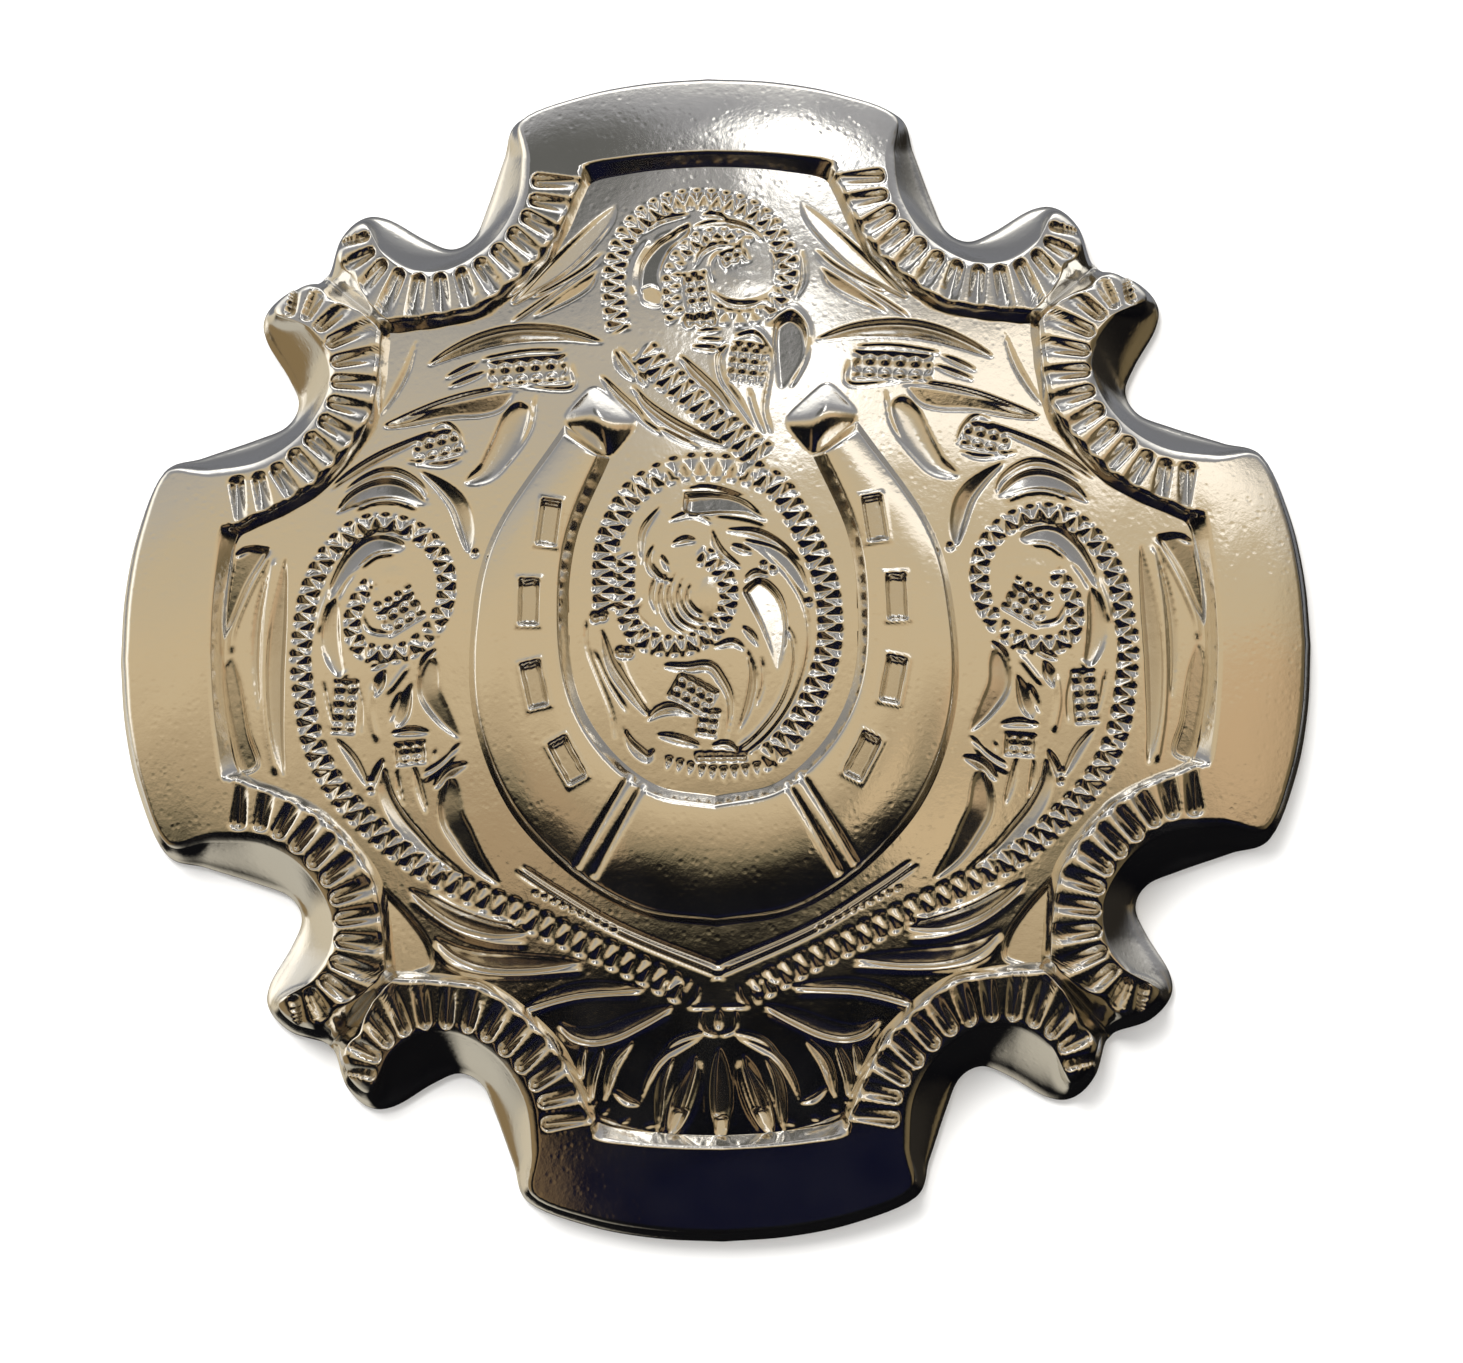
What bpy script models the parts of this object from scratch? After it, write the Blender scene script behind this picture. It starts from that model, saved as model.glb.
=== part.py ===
"""A cast western horseshoe concho, lying on its back rim with its carved face up.

It is one die casting: a domed four-armed plate with a raised rim, eight ribbed crescents, a horseshoe
in the middle and engraved scrolls between them. The back is hollow, with a flat rim and a screw post.
Lengths below are millimetres in plan, seen from above, with +Y towards the open end of the horseshoe.
"""

import math

import bmesh
import bpy
import numpy as np
from mathutils import Vector
from mathutils.geometry import delaunay_2d_cdt

MM = 0.001

# Plate
ARM_REACH_X = 18.92  # centre to the ends of the two side arms
ARM_REACH_Y = 18.62  # centre to the ends of the upper and lower arms
ARM_END_RADIUS = 15.6  # the ends' own roundness
ARM_ROOT = 14.0  # only what lies further out than this moves with an arm's reach
EDGE_LEVEL = 1.0  # field level out at the arms' ends, above the table
DOME_RISE = 3.4  # from there to the field's centre
LIP = 0.35  # straight edge all round, above the table
END_DRAFT = 0.22  # how far the top edge of an arm's end lies inside its foot
WALL_FLARE = 1.45  # over 1 makes the notch walls hollow towards their foot
FLARE_STATION = 0.5  # where on the wall its extra loop of points runs

# Relief, above or below the field
RIM_HEIGHT = 0.65
RIM_ROLL_START = 15.0  # radius at which the rim starts to round over towards its edge
RIM_ROLL = 0.72  # share of the rim's height lost at the very edge
SHOE_HEIGHT = 0.5
SHOE_CROWN = 0.16
SHOE_DRAFT = 0.42
SHOE_STATION = 1.3  # spread of the points along the shoe's edges
BAR_BOW = 0.09
BAR_DEPTH = 0.18
CALK_HEIGHT = 0.72
CALK_TOP = 0.72  # size of a calk's top as a share of its foot
NAIL_LENGTH = 1.4
NAIL_WIDTH = 0.64
NAIL_DEPTH = 0.42
NAIL_TAPER = 0.14
LEAF_DEPTH = 0.34
LEAF_LEAN = 0.3  # where a leaf's deep line runs, as a share of the way down from its upper side
LEAF_STATION = 1.5  # length for which a leaf's sides get one more point
TOOTH_DEPTH = 0.27
TOOTH_PITCH = 0.63
TOOTH_LENGTH = 0.66
TOOTH_WIDTH = 0.36
TOOTH_DEEP = 0.2  # from a tooth's middle out to its deepest point, as a share of its length
BEAD_PITCH = 0.6
BEAD_SIZE = 0.34
BEAD_DEPTH = 0.16
RIB_PITCH = 0.76
RIB_LENGTH = 1.0
RIB_WIDTH = 0.34
RIB_DEPTH = 0.3
RIB_FLOOR = 0.8  # length of a rib slot's deepest line as a share of its mouth

# Back
WALL = 1.3  # metal between the field and the hollow
HOLLOW_OUTSET = 0.9  # how far the hollow's mouth reaches out past the field's edge
HOLE_RADIUS = 2.085  # blind hole for an 8-32 screw
HOLE_DRAFT = 0.05
HOLE_CAP = 1.0  # metal left over the hole's end, under the deepest cut
POST_WALL = 1.5  # metal round the hole
POST_DRAFT = 0.3
POST_RECESS = 0.3  # the post ends this far above the rim
ROUND_SIDES = 32
POST_RADIUS = HOLE_RADIUS + POST_WALL

# Mesh
ARC_POINTS = 5  # on half of an arm's end
FILL_SPACING = 2.5  # spread of the points that carry the dome between the carving
FILL_CLEARANCE = 0.75

# What follows is drawn for arms this long; the arms are then stretched to their own reach
DRAWN_REACH = 18.92
# One eighth of the outline, from a side arm's corner to the diagonal: the foot of the edge and its top
NOTCH_FOOT = [
    (17.52, 6.10), (16.24, 6.56), (14.57, 7.11), (13.59, 7.53), (13.20, 8.25), (13.52, 9.12),
    (14.22, 10.33), (14.24, 11.12), (13.58, 11.81), (12.57, 12.14), (12.32, 12.32),
]
NOTCH_TOP = [
    (17.34, 5.95), (15.90, 5.92), (14.30, 6.08), (13.00, 6.85), (12.15, 8.15), (12.15, 9.35),
    (12.90, 10.40), (13.85, 10.98), (13.42, 11.62), (12.50, 11.94), (12.15, 12.15),
]
# The field's edge in the same eighth: the top of the step down to it, and the foot of the step
FIELD_TOP = [
    (15.95, 0.0), (15.86, 2.0), (15.55, 3.95), (14.9, 4.35), (13.9, 4.75), (12.9, 5.35),
    (12.0, 6.1), (11.25, 7.0), (10.9, 8.0), (10.75, 9.2), (10.72, 10.72),
]
FIELD_FOOT = [
    (15.45, 0.0), (15.36, 2.0), (15.0, 3.6), (14.5, 3.95), (13.6, 4.3), (12.6, 4.85),
    (11.65, 5.6), (10.85, 6.55), (10.4, 7.8), (10.2, 9.1), (10.12, 10.12),
]
RIB_LINE = [
    (15.35, 5.0), (13.9, 5.25), (12.65, 6.2), (11.72, 7.4), (11.42, 8.8), (11.65, 10.1), (12.75, 11.2),
]

# Horseshoe, right half, from the toe to the heel
SHOE_OUTER = [
    (0.0, -9.0), (2.4, -8.6), (4.6, -7.3), (6.5, -5.2), (7.55, -2.4), (7.6, 0.6), (6.9, 3.5), (4.6, 6.95),
]
SHOE_INNER = [(0.0, -4.9), (1.9, -4.5), (3.4, -3.2), (4.3, -1.4), (4.5, 0.9), (4.2, 3.3), (3.15, 5.8)]
# Each nail hole's middle and its lean in degrees
SHOE_NAILS = [(5.1, 3.7, 8.0), (5.75, 1.2, 2.0), (5.6, -1.4, -12.0), (4.6, -3.8, -28.0)]
SHOE_BARS = [((2.75, -4.4), (4.3, -7.2)), ((2.3, -4.8), (3.85, -7.45))]
CALK = [(2.4, 6.95), (3.7, 8.1), (4.62, 7.12), (3.22, 5.95)]

# Leaf cuts of the right half, which the left half mirrors: start, end, and how far each side bows out
# to the left of the line from start to end
PAIRED_LEAVES = [
    ((3.3, 9.35), (8.9, 9.05), 0.98, 0.42),
    ((4.6, 9.2), (8.4, 8.5), 0.42, 0.2),
    ((6.0, 8.35), (10.55, 7.2), 0.22, -0.3),
    ((5.75, 7.75), (7.65, 5.15), 0.2, -0.6),
    ((8.6, 6.85), (12.1, 5.1), 0.28, 0.02),
    ((8.9, 4.5), (11.85, 4.4), 1.15, 0.3),
    ((9.3, 5.65), (7.4, 2.85), -0.1, -0.78),
    ((9.4, 3.2), (12.5, 0.9), 1.15, 0.6),
    ((9.5, 2.0), (10.55, 1.4), -0.1, -0.35),
    ((12.2, 0.7), (11.85, -0.85), 0.1, -0.35),
    ((9.6, 0.05), (10.9, 0.0), 0.12, -0.2),
    ((8.75, -0.2), (8.15, -2.8), 0.35, -0.2),
    ((9.6, -0.6), (10.75, -0.85), 0.1, -0.3),
    ((9.65, -1.2), (10.2, -2.6), 0.3, -0.1),
    ((11.4, -2.7), (10.85, -4.5), 0.3, -0.05),
    ((8.3, -3.85), (6.9, -7.4), 0.62, 0.0),
    ((10.5, -3.8), (7.8, -7.3), 0.75, 0.15),
    ((9.2, -3.1), (8.95, -5.0), 0.2, -0.1),
    ((13.6, 2.7), (13.85, -3.6), 0.75, 0.35),
    ((14.75, 3.4), (15.05, -3.6), 0.55, 0.1),
    ((3.0, 14.0), (6.2, 11.1), 0.3, -0.35),
    ((3.6, 11.7), (5.6, 10.5), 0.15, -0.35),
    ((9.5, 9.8), (10.25, 8.0), 0.1, -0.3),
    ((5.95, -9.1), (9.5, -7.75), -0.15, -0.62),
    ((4.3, -10.05), (8.9, -9.15), -0.35, -0.85),
    ((2.5, -10.95), (6.0, -11.45), 0.25, 0.0),
    ((1.55, -11.6), (4.95, -12.0), -0.4, -0.8),
    ((0.5, -12.3), (2.5, -14.3), 0.35, 0.1),
    ((2.7, -12.5), (3.6, -14.2), 0.3, 0.05),
    ((3.7, -12.7), (4.05, -14.3), 0.25, 0.0),
    ((0.75, -13.1), (1.5, -15.3), 0.3, 0.0),
    ((2.0, -15.4), (4.1, -14.7), 0.0, -0.25),
    ((0.2, -10.4), (6.3, -7.2), -0.1, -0.36),
]
# Leaf cuts of the scroll that fills the horseshoe and of the one above it, which have no mirrored twin
SINGLE_LEAVES = [
    ((-0.8, 4.3), (1.6, 3.75), 0.5, -0.1),
    ((0.6, 3.45), (2.85, 1.5), 0.55, 0.1),
    ((0.0, 3.4), (1.3, 2.4), 0.05, -0.35),
    ((1.3, 1.95), (2.1, -1.0), 0.45, -0.25),
    ((-1.95, 2.5), (-0.5, 0.45), -0.2, -0.75),
    ((-1.2, 3.0), (-0.5, 2.9), 0.05, -0.25),
    ((-1.7, 1.6), (-1.0, 1.5), 0.0, -0.2),
    ((-1.6, 1.1), (-0.95, 1.0), 0.0, -0.2),
    ((-3.75, 0.6), (-2.75, -3.0), -0.2, -0.7),
    ((-2.9, -0.3), (-1.9, -2.2), 0.2, -0.25),
    ((-1.5, -0.95), (0.45, -2.9), 0.85, 0.35),
    ((0.05, -0.3), (0.9, -3.1), 0.75, 0.45),
    ((-2.0, -2.55), (-0.8, -2.4), 0.3, 0.0),
    ((-1.75, -3.3), (-0.5, -3.35), 0.2, -0.05),
    ((-2.75, -2.8), (-2.05, -3.65), 0.15, -0.25),
    ((2.35, 1.4), (0.9, -3.4), 0.95, 0.6),
    ((-0.85, 13.25), (-1.5, 10.8), -0.25, -0.95),
    ((0.0, 11.5), (2.05, 11.7), -0.4, -0.75),
    ((-0.1, 13.75), (0.65, 13.55), 0.1, -0.08),
    ((-2.4, 8.15), (0.6, 6.25), -0.15, -0.5),
    ((-3.5, 8.5), (-0.4, 6.05), -0.35, -0.6),
    ((-0.75, 9.1), (0.55, 7.3), 0.15, -0.15),
    ((0.3, 8.9), (1.5, 6.4), -0.1, -0.35),
    ((1.95, 9.95), (2.3, 8.25), 0.7, -0.1),
    ((-0.4, 9.85), (0.45, 9.75), 0.08, -0.15),
]

# Rows of wedge cuts: the middle line of each row
PAIRED_TEETH = [
    [
        (11.6, 3.95), (12.5, 2.7), (13.05, 1.2), (13.1, -0.5),
        (12.75, -2.8), (11.9, -4.55), (10.6, -5.9), (9.2, -7.0),
    ],
    [(8.4, -7.4), (7.3, -7.9), (6.1, -8.45), (4.6, -9.15), (2.9, -9.85), (1.2, -10.6)],
    [(11.0, 4.1), (10.1, 4.2), (9.1, 3.9), (8.3, 3.2), (8.0, 2.2), (8.15, 1.2), (8.9, 0.45)],
    [(10.8, 1.9), (11.15, 1.2), (11.0, 0.5)],
]
SINGLE_TEETH = [
    [(-2.9, 4.5), (-3.45, 3.2), (-3.55, 2.0), (-3.2, 1.1)],
    [(-2.1, 5.2), (-1.0, 5.7), (0.4, 5.75), (1.5, 5.4)],
    [(2.2, 4.9), (3.0, 3.8), (3.6, 2.5), (3.72, 1.0), (3.6, -0.6), (3.1, -2.1), (2.2, -3.2), (1.2, -4.0)],
    [(0.4, -4.2), (-0.8, -4.15), (-1.7, -3.95)],
    [(-2.0, 14.2), (-2.9, 13.1), (-3.2, 11.8), (-3.05, 10.3)],
    [
        (-1.3, 14.6), (0.1, 14.7), (1.5, 14.2), (2.5, 13.2),
        (2.75, 12.0), (2.1, 11.1), (1.1, 10.6), (-0.1, 10.6),
    ],
    [(-2.1, 9.3), (-1.3, 8.4), (-0.3, 7.5), (0.7, 6.7)],
    [(-0.55, 13.0), (0.4, 12.7), (1.1, 12.9)],
]
# Patches of small square pits: centre, width, height and turn in degrees
PAIRED_BEADS = [
    (6.0, 8.72, 2.4, 1.2, -4.0), (8.75, 6.3, 1.8, 1.2, -15.0),
    (9.75, 0.9, 1.8, 1.2, -20.0), (11.65, -1.7, 1.2, 1.8, 8.0),
]
SINGLE_BEADS = [(1.22, 8.85, 1.2, 1.8, -8.0), (-0.45, -1.95, 1.2, 1.8, -30.0), (0.35, 1.3, 0.6, 1.8, 5.0)]


def smooth(points, per_span):
    """A smooth curve through the points, with the same number of new points in every span."""
    control = np.array(points, float)
    padded = np.vstack([2 * control[0] - control[1], control, 2 * control[-1] - control[-2]])
    t = np.linspace(0, 1, per_span, endpoint=False)[:, None]
    fine = []
    for a, b, c, d in zip(padded, padded[1:], padded[2:], padded[3:]):
        bend = (2 * a - 5 * b + 4 * c - d) * t**2 + (3 * b - a - 3 * c + d) * t**3
        fine.append(b + 0.5 * ((c - a) * t + bend))
    return np.vstack(fine + [control[-1:]])


def spaced(points, pitch=None, count=None):
    """Points along the smooth curve, ends included, about pitch apart or count in all."""
    fine = smooth(points, 16)
    along = np.concatenate([[0], np.cumsum(np.linalg.norm(np.diff(fine, axis=0), axis=1))])
    stations = np.linspace(0, along[-1], count or max(2, round(along[-1] / pitch) + 1))
    return np.column_stack([np.interp(stations, along, fine[:, axis]) for axis in range(2)])


def sideways(line):
    """The unit direction to the left of a line at each of its points."""
    along = np.gradient(line, axis=0)
    along /= np.linalg.norm(along, axis=1)[:, None]
    return np.column_stack([-along[:, 1], along[:, 0]])


def bow(start, end, rise, count):
    """A shallow parabola from start to end that bows out by rise to the left."""
    start, end = np.array(start, float), np.array(end, float)
    t = np.linspace(0, 1, count)[:, None]
    along = (end - start) / np.linalg.norm(end - start)
    return start + (end - start) * t + np.array([-along[1], along[0]]) * rise * 4 * t * (1 - t)


def mirrored(line):
    """The same line on the other side of the Y axis, run the other way so that left stays left."""
    return (np.array(line, float) * (-1, 1))[::-1]


def eighth_to_loop(eighth):
    """A closed loop from one eighth, which runs from the +X axis or an arm's corner to the diagonal."""
    quarter = np.vstack([eighth, eighth[:-1, ::-1][::-1]])[:-1]
    quarters = []
    for turn in range(4):
        c, s = (1, 0, -1, 0)[turn], (0, 1, 0, -1)[turn]
        quarters.append(quarter @ np.array([[c, s], [-s, c]]))
    return np.vstack(quarters)


def stretched(line):
    """The line with whatever lies out on the arms moved, so that each pair of arms has its own reach."""
    line = np.array(line, float)
    moved = line.copy()
    for axis, reach in ((0, ARM_REACH_X), (1, ARM_REACH_Y)):
        share = np.clip((np.abs(line[:, axis]) - ARM_ROOT) / (DRAWN_REACH - ARM_ROOT), 0, 1)
        moved[:, axis] += np.sign(line[:, axis]) * share * (reach - DRAWN_REACH)
    return moved


def outline(notch, inset, stations=2):
    """The plate's outline: an arc over each arm's end, and the notch line in between."""
    corner = notch[0][1]
    angles = np.linspace(0, math.asin(corner / ARM_END_RADIUS), ARC_POINTS)[:-1]
    arc = np.column_stack([
        DRAWN_REACH - inset - ARM_END_RADIUS * (1 - np.cos(angles)),
        ARM_END_RADIUS * np.sin(angles),
    ])
    return stretched(eighth_to_loop(np.vstack([arc, smooth(notch, stations)])))


def distance(points, line, closed):
    """The shortest way from each point to a line."""
    ends = np.roll(line, -1, axis=0) if closed else line[1:]
    starts = line if closed else line[:-1]
    best = np.full(len(points), np.inf)
    if len(line) == 1:
        return np.linalg.norm(points - line[0], axis=1)
    for a, b in zip(starts, ends):
        step = b - a
        share = np.clip(((points - a) @ step) / max(step @ step, 1e-12), 0, 1)
        best = np.minimum(best, np.linalg.norm(points - a - share[:, None] * step, axis=1))
    return best


def inside(points, loop):
    """Which points lie inside a closed loop."""
    found = np.zeros(len(points), bool)
    x, y = points.T
    for a, b in zip(loop, np.roll(loop, -1, axis=0)):
        crosses = (a[1] > y) != (b[1] > y)
        if crosses.any():
            at = a[0] + (y - a[1]) * (b[0] - a[0]) / (b[1] - a[1] if b[1] != a[1] else 1)
            found ^= crosses & (x < at)
    return found


class Relief:
    """Metal added or cut away: nothing at the edge loop, all of rise at the core, straight in between."""

    def __init__(self, edge, core, rise, solid_core=False):
        self.edge, self.core = stretched(edge), stretched(core)
        self.rise, self.solid_core = rise, solid_core

    def lines(self):
        return [(self.edge, True), (self.core, self.solid_core)]

    def at(self, points):
        height = np.zeros(len(points))
        low, high = self.edge.min(axis=0), self.edge.max(axis=0)
        near = np.nonzero(((points >= low) & (points <= high)).all(axis=1))[0]
        near = near[inside(points[near], self.edge)]
        if not len(near):
            return height
        spot = points[near]
        to_edge = distance(spot, self.edge, True)
        to_core = distance(spot, self.core, self.solid_core)
        if self.solid_core:
            to_core[inside(spot, self.core)] = 0
        height[near] = self.rise * to_edge / np.maximum(to_edge + to_core, 1e-9)
        return height


def leaf(start, end, outer, inner, depth=LEAF_DEPTH):
    """A pointed cut between two bowed lines, steep under its upper side and sloping up to the other."""
    count = 4 + min(3, int(math.dist(start, end) / LEAF_STATION))
    edge = np.vstack([bow(start, end, outer, count), bow(start, end, inner, count)[-2:0:-1]])
    lean = LEAF_LEAN if end[0] > start[0] else 1 - LEAF_LEAN
    spine = bow(start, end, outer + lean * (inner - outer), count + 1)[1:-1]
    return Relief(edge, spine, -depth)


def teeth(line):
    """A row of wedge cuts across a line, each with its deep point near the outer end."""
    spots = spaced(line, TOOTH_PITCH)
    left = sideways(spots)
    along = np.column_stack([left[:, 1], -left[:, 0]])
    made = []
    for spot, out, step in zip(spots[:-1], left[:-1], along[:-1]):
        foot = spot + step * TOOTH_PITCH / 2
        edge = [
            foot + out * TOOTH_LENGTH / 2 - step * TOOTH_WIDTH / 2,
            foot - out * TOOTH_LENGTH / 2,
            foot + out * TOOTH_LENGTH / 2 + step * TOOTH_WIDTH / 2,
        ]
        made.append(Relief(edge, [foot + out * TOOTH_LENGTH * TOOTH_DEEP], -TOOTH_DEPTH))
    return made


def turned_box(x, y, length, width, degrees):
    """The corners of a box whose long side runs along Y before it is turned."""
    angle = math.radians(degrees)
    c, s = math.cos(angle), math.sin(angle)
    corners = np.array([(-width, -length), (width, -length), (width, length), (-width, length)]) / 2
    return corners @ np.array([[c, s], [-s, c]]) + (x, y)


def beads(x, y, width, height, degrees):
    """A patch of small square pits."""
    angle = math.radians(degrees)
    across, up = np.array([math.cos(angle), math.sin(angle)]), np.array([-math.sin(angle), math.cos(angle)])
    columns, rows = round(width / BEAD_PITCH), round(height / BEAD_PITCH)
    made = []
    for row in range(rows):
        for column in range(columns):
            spot = across * (column - (columns - 1) / 2) + up * (row - (rows - 1) / 2)
            spot = np.array([x, y]) + spot * BEAD_PITCH
            made.append(Relief(turned_box(*spot, BEAD_SIZE, BEAD_SIZE, degrees), [spot], -BEAD_DEPTH))
    return made


def nail_hole(x, y, lean):
    mouth = turned_box(x, y, NAIL_LENGTH, NAIL_WIDTH, lean)
    floor = turned_box(x, y, NAIL_LENGTH - NAIL_TAPER, NAIL_WIDTH - NAIL_TAPER, lean)
    return Relief(mouth, floor, -NAIL_DEPTH, solid_core=True)


def ribs():
    """The slots across the eight crescents."""
    eighth = spaced(RIB_LINE, RIB_PITCH)
    left = sideways(eighth)
    made = []
    for turn in range(4):
        c, s = (1, 0, -1, 0)[turn], (0, 1, 0, -1)[turn]
        rotate = np.array([[c, s], [-s, c]])
        for flip in (False, True):
            for spot, out in zip(eighth, left):
                spot, out = (spot[::-1], out[::-1]) if flip else (spot, out)
                spot, out = spot @ rotate, out @ rotate
                degrees = math.degrees(math.atan2(-out[0], out[1]))
                mouth = turned_box(*spot, RIB_LENGTH, RIB_WIDTH, degrees)
                deep = out * RIB_LENGTH * RIB_FLOOR / 2
                made.append(Relief(mouth, [spot - deep, spot + deep], -RIB_DEPTH))
    return made


def shoe_loop(draft):
    """The shoe's outline, with its edge moved in over the metal by draft."""
    sides = []
    for line, into in ((SHOE_OUTER, 1), (SHOE_INNER, -1)):
        side = spaced(line, SHOE_STATION)
        heel = side[-1] - side[-2]
        side += sideways(side) * into * draft
        side[-1] -= heel / np.linalg.norm(heel) * draft
        side[0, 0] = 0
        sides.append(side)
    rim, throat = sides
    return np.vstack([rim, throat[::-1], throat[1:] * (-1, 1), mirrored(rim)[:-1]])


def horseshoe():
    """The shoe with its drafted edge, crown, calks, bars and nail holes."""
    half = (spaced(SHOE_OUTER, count=7) + spaced(SHOE_INNER, count=7)) / 2
    ridge = np.vstack([mirrored(half[:-1])[:-1], half[:-1]])
    top = shoe_loop(SHOE_DRAFT)
    made = [Relief(shoe_loop(0), top, SHOE_HEIGHT, solid_core=True), Relief(top, ridge, SHOE_CROWN)]
    block = np.array(CALK)
    crest = block.mean(axis=0) + (block - block.mean(axis=0)) * CALK_TOP
    for flip in (False, True):
        corners = [mirrored(block), mirrored(crest)] if flip else [block, crest]
        made.append(Relief(*corners, CALK_HEIGHT, solid_core=True))
        for x, y, lean in SHOE_NAILS:
            made.append(nail_hole(-x if flip else x, y, -lean if flip else lean))
        for bar in SHOE_BARS:
            start, end = mirrored(bar) if flip else bar
            made.append(leaf(start, end, BAR_BOW, -BAR_BOW, depth=BAR_DEPTH))
    return made


def carving():
    """Every cut and raised form of the face, apart from the rim."""
    made = horseshoe() + ribs()
    for start, end, outer, inner in PAIRED_LEAVES:
        made.append(leaf(start, end, outer, inner))
        made.append(leaf((-end[0], end[1]), (-start[0], start[1]), outer, inner))
    made += [leaf(*cut) for cut in SINGLE_LEAVES]
    for line in PAIRED_TEETH:
        made += teeth(line) + teeth(mirrored(line))
    for line in SINGLE_TEETH:
        made += teeth(line)
    for x, y, width, height, turn in PAIRED_BEADS:
        made += beads(x, y, width, height, turn) + beads(-x, y, width, height, -turn)
    for patch in SINGLE_BEADS:
        made += beads(*patch)
    return made


def dome(points):
    """The field's height above the table."""
    reach = max(ARM_REACH_X, ARM_REACH_Y)
    return EDGE_LEVEL + DOME_RISE * (1 - (points**2).sum(axis=1) / reach**2)


def wall_share(points, foot, top):
    """How far up the plate's edge each point lies: 0 at the foot, 1 from the top edge inwards."""
    share = np.ones(len(points))
    outer = ~inside(points, top)
    to_foot, to_top = distance(points[outer], foot, True), distance(points[outer], top, True)
    share[outer] = to_foot / np.maximum(to_foot + to_top, 1e-9)
    return share


def front_height(points, foot, top, field, reliefs):
    """The face: field, rim, carving, and the flared edge outside the top outline."""
    radius = np.linalg.norm(points, axis=1)
    roll = np.clip((radius - RIM_ROLL_START) / (ARM_REACH_X - RIM_ROLL_START), 0, 1)
    height = dome(points) + RIM_HEIGHT * (1 - RIM_ROLL * roll**2) - RIM_HEIGHT * field.at(points)
    for relief in reliefs:
        height += relief.at(points)
    return LIP + (height - LIP) * wall_share(points, foot, top) ** WALL_FLARE


def back_height(points, hollow):
    """The underside: the flat rim, the hollow, and the post with its blind hole."""
    height = np.maximum(dome(points) - WALL, 0) * hollow.at(points)
    radius = np.linalg.norm(points, axis=1)
    beside = np.clip((radius - POST_RADIUS) / POST_DRAFT, 0, 1)
    height = POST_RECESS + (height - POST_RECESS) * beside
    inward = np.clip((HOLE_RADIUS - radius) / HOLE_DRAFT, 0, 1)
    hole_end = EDGE_LEVEL + DOME_RISE - LEAF_DEPTH - HOLE_CAP
    return height + (hole_end - POST_RECESS) * inward


def circle(radius):
    angles = np.arange(ROUND_SIDES) * 2 * math.pi / ROUND_SIDES
    return radius * np.column_stack([np.cos(angles), np.sin(angles)])


def fill_points(boundary, lines):
    """A staggered grid of points inside the boundary that keeps clear of every line."""
    most = math.ceil(max(ARM_REACH_X, ARM_REACH_Y) / FILL_SPACING)
    columns, rows = np.meshgrid(*[np.arange(-most, most + 1)] * 2)
    grid = np.column_stack([(columns + (rows % 2) / 2).ravel(), (rows * math.sqrt(3) / 2).ravel()])
    grid = grid * FILL_SPACING
    grid = grid[inside(grid, boundary)]
    for line, closed in [(boundary, True)] + lines:
        grid = grid[distance(grid, line, closed) > FILL_CLEARANCE]
    return grid


def sheet(boundary, lines, height):
    """Points and triangles of a surface over the boundary, with an edge along every line.

    The points of its rim come first, in order, and their number is given too."""
    points, edges = [boundary], [(i, (i + 1) % len(boundary)) for i in range(len(boundary))]
    count = len(boundary)
    for line, closed in lines:
        last = len(line) if closed else len(line) - 1
        edges += [(count + i, count + (i + 1) % len(line)) for i in range(last)]
        points.append(line)
        count += len(line)
    points.append(fill_points(boundary, lines))
    flat = [Vector(point) for point in np.vstack(points)]
    meeting = 1e-4  # lines nearer than this meet in one point
    found, _, faces, sources, _, _ = delaunay_2d_cdt(flat, edges, [], 0, meeting, True)
    found = np.array(found)
    faces = np.array(faces)
    faces = faces[inside(found[faces].mean(axis=1), boundary)]
    sides = {(a, b) for face in faces.tolist() for a, b in zip(face, face[1:] + face[:1])}
    following = {a: b for a, b in sides if (b, a) not in sides}
    rim = [next(index for index, group in enumerate(sources) if 0 in group)]
    while following[rim[-1]] != rim[0]:
        rim.append(following[rim[-1]])
    order = np.array(rim + sorted(set(faces.ravel().tolist()) - set(rim)))
    place = np.zeros(len(found), int)
    place[order] = np.arange(len(order))
    found, faces = found[order], place[faces]
    return np.column_stack([found, height(found)]), faces, len(rim)


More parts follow.
